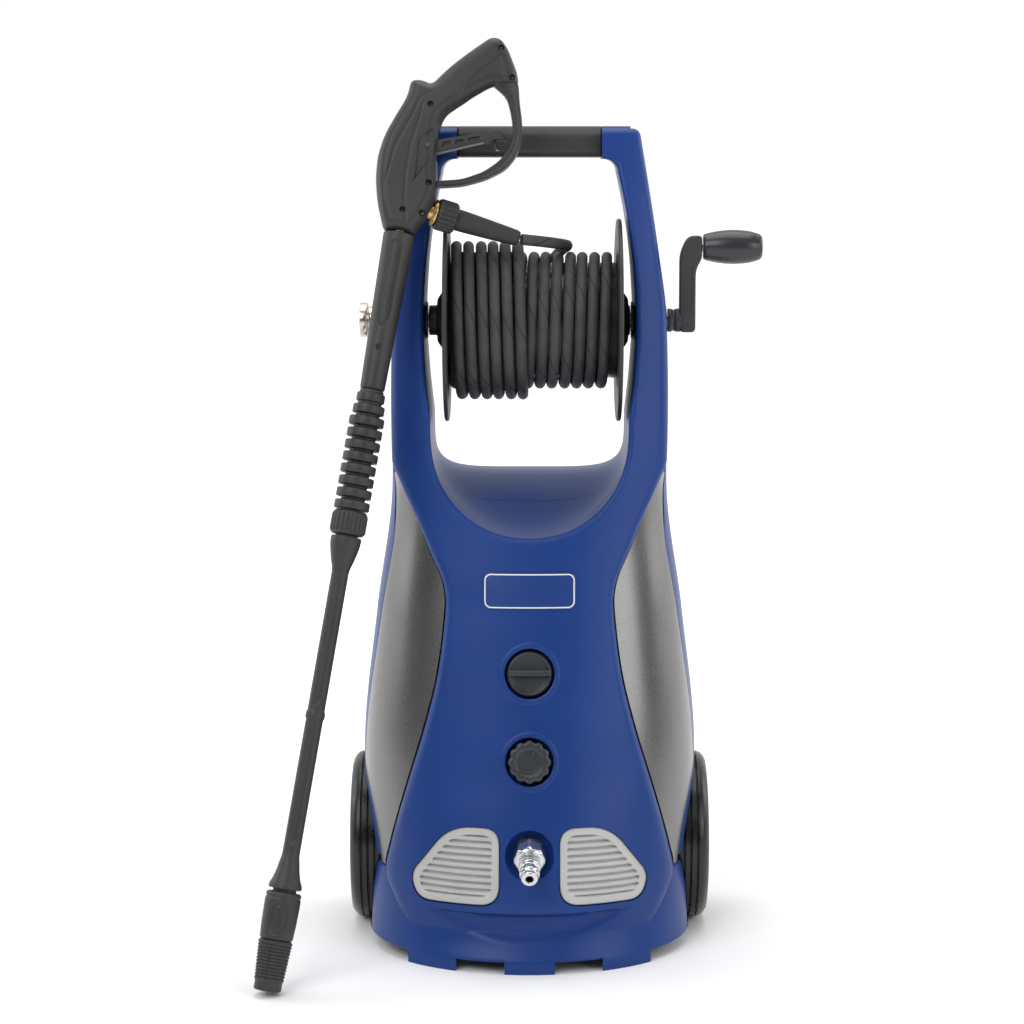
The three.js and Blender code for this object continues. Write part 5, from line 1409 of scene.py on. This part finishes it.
def lance_tube():
    """The lance's shroud: flared foot, long barrel with moulded slots and a joint bead, and a boss at its top."""
    # each point with the radius of its corner
    points = np.array([
        [3, 99.6, 0], [12, 99.6, 0.4], [12, 103.1, 0.2], [16.2, 103.2, 1], [17, 104.4, 1], [16.6, 108, 2],
        [14.5, 112, 4], [11.6, 122, 6], [10.2, 131, 6], [8.8, 137, 6], [8.8, 276, 1.2], [9.9, 278, 1], [9.9, 283, 1],
        [8.8, 285, 1.2], [8.8, 431, 6], [11.8, 440, 6], [14.6, 452, 4], [15.6, 458, 2], [15.8, 463.6, 1],
        [15, 465, 0.4], [11.5, 465, 0.4], [11.5, 466.8, 0.3], [3, 466.8, 0], [3, 99.6, 0],
    ])
    fine = fine_steps(rounded(points[:, :2], points[:, 2], steps=5), 2.2)
    marks = slots((0.36, 150, 268, 1.4), (0.36, 292, 424, 1.4))
    return turned("lance_barrel", "z", fine, sides=90, shape=marks, place=in_gun)


def lance_sleeve():
    """The sleeve under the gun: a tapered barrel with a long sunk panel and a screw pocket on each side."""
    points = [[5.4, 619.4], [12.2, 619.4], [12.8, 621], [14.4, 690], [16.4, 780], [16.4, 783.6], [15.6, 784.4],
              [5.4, 784.4], [5.4, 619.4]]
    fine = fine_steps(rounded(points, [0, 0.8, 1.5, 8, 2, 1, 0.6, 0, 0], steps=4), 1.6)
    marks = slots((0.40, 684, 776, 1.3, 0.55), (0.19, 660, 666, 3))
    return turned("lance_sleeve_fine", "z", fine, sides=110, shape=marks, place=in_gun)


def gun_brass():
    """The gun's valve body with its side inlet and brass ring."""
    body = rounded([[0, 786], [9, 786], [9, 856], [2.5, 856], [2.5, 866], [0, 866]], 0.6, steps=3)
    pipe = [[0, 0], [8, 0], [8, 30.4], [12.6, 30.4], [12.6, 31.2], [14.4, 31.4], [14.4, 33.6], [13.6, 34], [5, 34],
            [5, 60.4], [0, 60.4]]
    pipe = turned("tool", "y", rounded(pipe, 0.4, steps=3), sides=72, place=beside_hose)
    body = joined(turned("valve_fine", "z", body, sides=48), pipe)
    body.data.transform(GUN_MATRIX)
    return body


def switch_dial():
    """The mains switch: a dished disc with a beaded rim and a raised bar to turn it by."""
    r = SWITCH_R
    profile = [[0, 4.4], [r - 5, 4.0], [r - 3.4, 2.6], [r - 1.6, 2.4], [r, 4], [r, 12], [5.8, 12], [5.8, 27], [0, 27]]
    profile = rounded(profile, [0, 3, 1, 1, 1.2, 1, 0.6, 0.5, 0], steps=5)
    disc = turned("switch_dial", "y", profile, sides=96)
    half = r - 2.2
    bar = rounded([[-half, -2.4], [half, -2.4], [half, 3.4], [-half, 3.4]], 1.8, True, 5)
    bar = plate("tool", bar, -5.8, 8, 1.3)
    mark = turned("tool", "y", rounded([[0, 3.6], [1.5, 3.6], [1.5, 8], [0, 8]], 0.4), (-r * 0.62, 0, 10.5), 24)
    disc = joined(disc, bar, mark)
    disc.data.transform(seat_matrix(SWITCH_Z))
    return disc


def pressure_dial():
    """The pressure knob: twelve lobes round it, a shallow dish, and a moulded arc with an arrow for less and more."""
    r = KNOB_R
    profile = [[0, -5.4], [13.4, -5.2], [15.4, -7], [r - 2.2, -6.9], [r, -5.2], [r, 12], [5.8, 12], [5.8, 31.8],
               [0, 31.8]]
    profile = rounded(profile, [0, 1.5, 1.2, 1.4, 1.6, 1, 0.6, 0.6, 0], steps=6)

    def shape(angle, radius, height):
        share = smoothstep(radius, 13.5, 20.0)
        return radius - share * 1.9 * (0.5 - 0.5 * np.cos(12 * angle)) ** 1.5

    knob = turned("pressure_dial", "y", fine_steps(profile, 1.6), sides=192, shape=shape)
    a = np.radians(np.linspace(-150, 60, 40))
    arc = np.vstack([11.2 * polar(a), 9.2 * polar(a[::-1])])
    tip = np.array([14.0 * polar(a[-1]), 6.6 * polar(a[-1]), 10.2 * polar(a[-1] + 0.42)])
    knob = joined(knob, *[plate("tool", mark, -6.1, -4, 0.2, steps=3) for mark in (arc, tip)])
    knob.data.transform(seat_matrix(KNOB_Z))
    return knob


def inlet_collar():
    """The inlet's collar nut: eight flats with rounded edges between two plain rings."""
    profile = [[9.9, -16], [13.6, -16], [15.2, -14.6], [15.2, -13.4], [16.2, -13], [17.5, -11.4], [17.5, 2.4],
               [16.2, 4], [15.2, 4.4], [15.2, 6], [9.9, 6], [9.9, -16]]

    def shape(angle, radius, height):
        flat = 16.9 * math.cos(math.pi / 8) / np.cos((angle % (math.pi / 4)) - math.pi / 8)
        soft = radius - 0.9 * (0.5 + 0.5 * np.cos(8 * angle)) ** 3
        return np.where(radius > 15.4, np.minimum(soft, flat), radius + 0 * angle)

    fine = fine_steps(rounded(profile, 0.7, steps=4), 1.5)
    return turned("collar_fine", "y", fine, sides=192, shape=shape, place=dipped)


def inlet_spigot():
    """The quick-connect stub: a barrel with a wide ring, a groove, a second ring and a rounded mouth."""
    profile = [[4, 4], [9.4, 4], [9.4, -16], [10.4, -17.4], [10.4, -22], [11.5, -24], [11.5, -27], [9.2, -28.4],
               [9.2, -33], [10.6, -34.6], [10.6, -38], [8.6, -40.4], [8.6, -45], [7.6, -46], [4.6, -46],
               [4, -45.4], [4, 4]]
    return turned("spigot_fine", "y", rounded(profile, 0.8, steps=4), sides=96, place=dipped)


def gland():
    """The mains inlet's gland: a collar and a boot with rings."""
    profile = [[0, 0], [9, 0], [9, 19.5], [13, 19.5], [13, 24], [10.6, 25]]
    for k in range(4):
        outer, inner, start = 10.6 - 0.5 * k, 8.4 - 0.3 * k, 25.6 + 3.4 * k
        profile += [[outer, start], [outer, start + 1.8], [inner, start + 2.2], [inner, start + 3.0]]
    profile += [[7.6, 39.6], [7, 40], [0, 40]]
    return turned("gland_fine", "y", rounded(profile, 0.5, steps=3), (70, 275.5, 150), 56)


def screw_head(name, centre, inward):
    """A pan-headed screw with a cross recess, sunk in its pocket."""
    radius = 2.6
    profile = [[0, 0.2], [radius * 0.55, 0.25], [radius, 0.9], [radius, 2.2], [0, 2.2]]
    head = turned(name, "y", rounded(profile, [0, 0.6, 0.5, 0.3, 0], steps=4), sides=36)
    head = cut(head, block((-0.35, -1, -1.5), (0.35, 1, 1.5)), block((-1.5, -1, -0.35), (1.5, 1, 0.35)))
    head.data.transform(matrix_of(np.diag([1.0, inward, 1.0]), centre))
    if inward < 0:
        head.data.flip_normals()
    return head


# ---------------------------------------------------------------- sizes and colours a user would change


class WasherSizes(bpy.types.PropertyGroup):
    """Sizes of the finishing detail."""

    edge: FloatProperty(name="Casing edge", description="Radius on the edges of the opening between the arms",
                        default=0.006, min=0.002, max=0.01, unit="LENGTH")
    bars: IntProperty(name="Grille bars", description="Bars across each intake grille", default=9, min=5, max=14)
    bar_depth: FloatProperty(name="Grille depth", description="Depth of the grooves between the bars",
                             default=0.0038, min=0.001, max=0.006, unit="LENGTH")
    hose_points: IntProperty(name="Hose points", description="Points for each turn of the wound hose",
                             default=30, min=12, max=60)


class WasherColours(bpy.types.PropertyGroup):
    """Colours of the finishes."""

    casing: FloatVectorProperty(name="Casing", description="Moulded casing", default=(0.0075, 0.0395, 0.195),
                                subtype="COLOR", min=0, max=1)
    panel: FloatVectorProperty(name="Panels", description="Satin side panels", default=(0.215, 0.213, 0.208),
                               subtype="COLOR", min=0, max=1)
    grille: FloatVectorProperty(name="Grilles", description="Intake grilles", default=(0.47, 0.47, 0.46),
                                subtype="COLOR", min=0, max=1)
    black: FloatVectorProperty(name="Black parts", description="Gun, lance, grip and crank",
                               default=(0.030, 0.0305, 0.031), subtype="COLOR", min=0, max=1)


SIZES, COLOURS = "washer_sizes", "washer_colours"
FINISHES = {}


def finish(name):
    """The named finish, made once."""
    if not FINISHES:
        colours = getattr(bpy.context.scene, COLOURS)
        blue, black = tuple(colours.casing), tuple(colours.black)
        FINISHES.update({
            "blue_plastic": moulded("blue casing plastic", blue, 0.38, 1300.0, 0.16, 0.06, Specular_IOR_Level=0.28),
            "grey_panel": satin_panel("satin lacquer", tuple(colours.panel)),
            "silver_plastic": moulded("silver plastic", tuple(colours.grille), 0.38, 1500.0, 0.14, 0.05),
            "black_plastic": moulded("textured black plastic", black, 0.46, 1250.0, 0.42, 0.14, Specular_IOR_Level=0.4),
            "gloss_black": moulded("gloss black plastic", (0.024, 0.025, 0.027), 0.24, 1300.0, 0.10, 0.10),
            "lobed_black": moulded("dial plastic", (0.030, 0.033, 0.038), 0.36, 1300.0, 0.20, 0.18),
            "hose": hose_rubber("wrapped hose rubber"),
            "rubber_black": moulded("plain rubber", (0.026, 0.026, 0.0265), 0.66, 800.0, 0.35, 0.15),
            "tyre_black": tyre_rubber("tyre rubber"),
            "chrome": metal("polished chrome", (0.70, 0.70, 0.71), 0.22),
            "nickel": metal("warm nickel", (0.66, 0.60, 0.54), 0.20, (1.0, 14.0, 14.0)),
            "brass": metal("turned brass", (0.62, 0.40, 0.17), 0.28, (1.0, 1.0, 12.0)),
            "steel": metal("drawn steel", (0.46, 0.47, 0.48), 0.34, (0.08, 1.0, 1.0)),
            "cast_aluminium": metal("cast aluminium", (0.50, 0.50, 0.51), 0.52, None, 0.18),
            "badge": badge_finish("badge lacquer", blue, (0.74, 0.75, 0.77)),
            "screw": metal("blackened screw", (0.10, 0.10, 0.10), 0.42),
            "floor": floor_finish("studio floor"),
        })
    return FINISHES[name]


class WasherStep(bpy.types.Operator):
    """Common to every step of the model."""

    bl_options = {"REGISTER", "UNDO"}

    def execute(self, context):
        self.make(getattr(context.scene, SIZES))
        return {"FINISHED"}


class WASHER_OT_stage(bpy.types.Operator):
    """Floor, studio light and the camera"""

    bl_idname = "washer.stage"
    bl_label = "Stage"

    def execute(self, context):
        scene = context.scene
        scene.view_settings.view_transform = "Standard"
        half = 30000
        floor = block((-half, -half, -80), (half, half, 0), "floor")
        floor.data.materials.append(finish("floor"))
        world = bpy.data.worlds.new("studio")
        world.use_nodes = True
        room = Graph(world.node_tree, "Generated")
        behind = room.ramp(room.axis("Y"), -0.25, 0.45)
        above = room.ramp(room.axis("Z"), 0.35, 0.9)
        light = room.mix(above * 0.6, room.mix(behind, (0.10, 0.10, 0.105), (1.0, 1.0, 1.0)), (0.75, 0.75, 0.75))
        room.end("ShaderNodeOutputWorld", room.node("ShaderNodeBackground", Color=light, Strength=1.0))
        scene.world = world
        # name, place, power in watts, size in metres
        lamps = [
            ("key", (-1.6, -2.6, 2.6), 60, 2.2), ("fill", (2.6, -2.2, 1.5), 34, 2.0),
            ("rim_left", (-2.6, 0.6, 1.4), 16, 1.6), ("rim_right", (2.6, 0.8, 1.4), 16, 1.6),
            ("top", (0, 0.4, 3.2), 40, 2.4),
        ]
        for name, place, power, size in lamps:
            light = bpy.data.lights.new(name, "AREA")
            light.energy, light.size = power, size
            lamp = bpy.data.objects.new(name, light)
            lamp.location = place
            lamp.rotation_euler = (Vector((0, 0.1, 0.45)) - Vector(place)).to_track_quat("-Z", "Y").to_euler()
            scene.collection.objects.link(lamp)
        camera = bpy.data.cameras.new("camera")
        camera.sensor_width, camera.lens, camera.shift_x = 36.0, 94.65, -0.0171
        camera.clip_end = 100.0
        view = bpy.data.objects.new("camera", camera)
        target, lean, far = Vector((0, 0.082, 0.470)), math.radians(7.5), 2.8
        view.location = target + far * Vector((0, -math.cos(lean), math.sin(lean)))
        view.rotation_euler = (target - view.location).to_track_quat("-Z", "Y").to_euler()
        scene.collection.objects.link(view)
        scene.camera = view
        return {"FINISHED"}


class WASHER_OT_hose(WasherStep):
    """Wound hose, the length that leads to the gun, its strain relief and nut"""

    bl_idname = "washer.hose"
    bl_label = "Hose"

    def make(self, sizes):
        relief = [[0, 60.7], [5.4, 60.7], [5.4, 53], [10.6, 53], [11.3, 60], [11, 70], [9.8, 96], [8.8, 116],
                  [8.4, 123], [7.2, 126], [0, 126]]
        relief = turned("relief_boot", "y", rounded(relief, 0.8, steps=4), sides=64, place=on_hose)
        place_piece(relief, "spray_gun", "rubber_black", "strain_relief")
        nut = [[5.6, 34.6], [14.4, 34.6], [15.6, 35.4], [16.6, 37.4], [16.6, 53], [15.6, 54.6], [14, 56], [11.8, 56],
               [11.6, 51.5], [5.6, 51.5], [5.6, 34.6]]
        nut, flutes = fine_steps(rounded(nut, 0.6, steps=4), 1.4), lobed(18, 1.5, 35.6, 54.8)
        nut = turned("hose_nut_fine", "y", nut, sides=216, shape=flutes, place=on_hose)
        place_piece(nut, "hose_collar", "black_plastic", "hose_nut")
        line = coil_line(sizes.hose_points)
        coil = tube("hose_wound", line, HOSE_D / 2, 14)
        place_piece(coil, "reel", "hose", "hose_coil", angle=60)
        line[0] / 1000
        length_of(line) / 1000
        (line / 1000).tolist()
        line = spline(HOSE_LEAD, 40)
        lead = tube("hose_to_gun", line, HOSE_D / 2, 24)
        place_piece(lead, None, "hose", "hose_lead", angle=60)
        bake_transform(lead)
        length_of(line) / 1000
        (line[::-1] / 1000).tolist()


class WASHER_OT_casing(WasherStep):
    """Front and rear covers, side panels, grilles, badge and handle"""

    bl_idname = "washer.casing"
    bl_label = "Casing"

    def make(self, sizes):
        edge = sizes.edge * 1000
        place_piece(front_cover(edge), "machine", "blue_plastic", "front_cover")
        place_piece(rear_cover(edge), "machine", "blue_plastic", "rear_cover")
        for side, word in ((-1, "left"), (1, "right")):
            place_piece(side_panel(side), "machine", "grey_panel", f"side_panel_{word}")
            grille = vent_grille(side, sizes.bars, sizes.bar_depth * 1000)
            place_piece(grille, "machine", "silver_plastic", f"vent_grille_{word}")
        place_piece(badge_plate(), "machine", "badge", "badge")
        grip = bar_x("grip_fine", (-GRIP_HALF - 1.1, GRIP_HALF + 1.1), grip_section(), 1.4)
        bore = rod("x", 8.4, -THROUGH, THROUGH, (0, GRIP_Y, GRIP_Z), 40)
        place_piece(cut(grip, bore), "machine", "black_plastic", "handle_grip")


class WASHER_OT_controls(WasherStep):
    """Switch, pressure knob, water inlet and mains gland"""

    bl_idname = "washer.controls"
    bl_label = "Controls"

    def make(self, sizes):
        place_piece(switch_dial(), "switch", "lobed_black", "switch_knob")
        place_piece(pressure_dial(), "pressure_control", "lobed_black", "pressure_knob")
        place_piece(inlet_collar(), "inlet_collar", "chrome", "inlet_nut")
        place_piece(inlet_spigot(), "machine", "chrome", "inlet_stub")
        place_piece(gland(), "machine", "rubber_black", "cable_gland")


class WASHER_OT_wheels(WasherStep):
    """Tyres, wheels and hub caps"""

    bl_idname = "washer.wheels"
    bl_label = "Wheels"

    def make(self, sizes):
        for side, word in ((-1, "left"), (1, "right")):
            body = f"{word}_wheel"
            place_piece(tyre(side), body, "tyre_black", f"tyre_{word}")
            place_piece(wheel(side), body, "black_plastic", f"wheel_{word}")
            place_piece(hub_cap(side), body, "gloss_black", f"hub_cap_{word}")


class WASHER_OT_reel(WasherStep):
    """Drum, flanges, bushes, axle, swivel and crank"""

    bl_idname = "washer.reel"
    bl_label = "Reel"

    def make(self, sizes):
        x0, x1 = REEL_X - REEL_WIDTH / 2 + 0.4, REEL_X + REEL_WIDTH / 2 - 0.4
        drum = rounded([[59, x0], [CORE_R, x0], [CORE_R, x1], [59, x1], [59, x0]], 0.5, steps=3)
        drum = turned("drum_fine", "x", drum, REEL_LINE, 120)
        place_piece(drum, "reel", "gloss_black", "reel_drum")
        for side, word in ((-1, "left"), (1, "right")):
            place_piece(flange(side), "reel", "black_plastic", f"reel_flange_{word}")
            place_piece(bush(side), "machine", "gloss_black", f"reel_bush_{word}")
        axle = rounded([[5, -139], [7.2, -139], [8, -138.2], [8, 156.2], [7.2, 157], [5, 157], [5, -139]], 0.3, steps=3)
        axle = turned("axle_fine", "x", axle, REEL_LINE, 48)
        place_piece(axle, "reel", "steel", "reel_axle")
        place_piece(swivel(), "machine", "nickel", "reel_swivel")
        place_piece(crank_arm(), "reel", "black_plastic", "crank_arm")
        spindle = rounded([[0, 173], [4.5, 173], [4.5, 242.6], [3.7, 243.4], [0, 243.4]], 0.4, steps=3)
        spindle = turned("spindle_fine", "x", spindle, CRANK_LINE, 40)
        place_piece(spindle, "reel", "steel", "crank_spindle")
        place_piece(crank_knob(), "crank_grip", "gloss_black", "crank_knob")


class WASHER_OT_gun(WasherStep):
    """Gun shells, valve, trigger, catch and screws"""

    bl_idname = "washer.gun"
    bl_label = "Spray gun"

    def make(self, sizes):
        for half, word in zip(gun_body(), ("front", "back")):
            place_piece(half, "spray_gun", "black_plastic", f"gun_shell_{word}")
        place_piece(gun_brass(), "spray_gun", "brass", "gun_valve")
        place_piece(trigger_lever(), "trigger", "black_plastic", "trigger")
        place_piece(catch_lever(), "trigger_catch", "gloss_black", "trigger_lock")
        for number, (x, z) in enumerate(GUN_SCREWS):
            for word, inward in (("front", 1.0), ("back", -1.0)):
                deep = float(gun_height(np.array([x]), np.array([z]), np.array([9.0]))[0])
                head = screw_head(f"gun_screw_{word}_{number + 1}", (x, -inward * (deep + 0.6), z), inward)
                head.data.transform(GUN_MATRIX)
                place_piece(head, "spray_gun", "screw")


class WASHER_OT_lance(WasherStep):
    """Sleeve, ribbed grip, collar, barrel and nozzle"""

    bl_idname = "washer.lance"
    bl_label = "Lance"

    def make(self, sizes):
        place_piece(lance_sleeve(), "lance", "black_plastic", "lance_sleeve")
        ribs = [[5.4, 493.4], *ribbed(493.4, 618.8, [18.2] * 8 + [16.4, 14.6], 12.4), [5.4, 618.6], [5.4, 493.4]]
        ribs = turned("lance_ribs", "z", rounded(ribs, 1.1, steps=4), sides=80, place=in_gun)
        place_piece(ribs, "lance", "black_plastic", "lance_grip")
        nut = [[5.4, 467], [15.4, 467], [17.2, 468.6], [18.6, 471], [18.6, 487], [17.4, 489.6], [15.6, 492],
               [5.4, 492], [5.4, 467]]
        nut, flutes = fine_steps(rounded(nut, 0.9, steps=4), 1.4), lobed(24, 1.2, 469.6, 489)
        nut = turned("lance_nut_fine", "z", nut, sides=216, shape=flutes, place=in_gun)
        place_piece(nut, "lance_collar", "black_plastic", "lance_nut")
        place_piece(lance_tube(), "lance", "black_plastic", "lance_tube")
        place_piece(nozzle_head(), "nozzle", "black_plastic", "nozzle_head")
        place_piece(nozzle_cuff(), "nozzle_cuff", "black_plastic", "nozzle_sleeve")


class WASHER_OT_inside(WasherStep):
    """Finishes of the drive and the other pieces that keep their CAD shape"""

    bl_idname = "washer.inside"
    bl_label = "Inside"

    def make(self, sizes):
        kept = {
            "black_plastic": ["base_tray", "switch_housing", "motor_fan"],
            "steel": ["handle_tube", "swash_plate", "motor_rotor", "inlet_pipe", "pressure_pipe", "wheel_axle",
                      "lance_pipe"],
            "screw": ["trigger_pin"],
            "brass": ["unloader_valve", "inlet_body", "nozzle_jet"],
            "cast_aluminium": ["pump_body", "motor_housing"],
        }
        for name, nodes in kept.items():
            for node in nodes:
                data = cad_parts[node].data
                data.materials.clear()
                data.materials.append(finish(name))


STEPS = (WASHER_OT_stage, WASHER_OT_hose, WASHER_OT_casing, WASHER_OT_controls, WASHER_OT_wheels, WASHER_OT_reel,
         WASHER_OT_gun, WASHER_OT_lance, WASHER_OT_inside)


class WASHER_PT_sidebar(bpy.types.Panel):
    """Sizes, colours and the steps of the model."""

    bl_label = "Pressure washer"
    bl_space_type = "VIEW_3D"
    bl_region_type = "UI"
    bl_category = "Washer"

    def draw(self, context):
        for holder in (SIZES, COLOURS):
            group = getattr(context.scene, holder)
            for name in group.bl_rna.properties.keys():
                if name not in {"rna_type", "name"}:
                    self.layout.prop(group, name)
        for step in STEPS:
            self.layout.operator(step.bl_idname)


CLASSES = (WasherSizes, WasherColours, *STEPS, WASHER_PT_sidebar)


def register():
    """Registers the classes and puts the two groups of properties on the scene."""
    for cls in CLASSES:
        bpy.utils.register_class(cls)
    setattr(bpy.types.Scene, SIZES, PointerProperty(type=WasherSizes))
    setattr(bpy.types.Scene, COLOURS, PointerProperty(type=WasherColours))


def unregister():
    """Takes away what register added."""
    delattr(bpy.types.Scene, SIZES)
    delattr(bpy.types.Scene, COLOURS)
    for cls in reversed(CLASSES):
        bpy.utils.unregister_class(cls)


def main():
    """Makes every piece in order."""
    register()
    for step in STEPS:
        group, name = step.bl_idname.split(".")
        getattr(getattr(bpy.ops, group), name)()


if __name__ == "__main__":
    main()
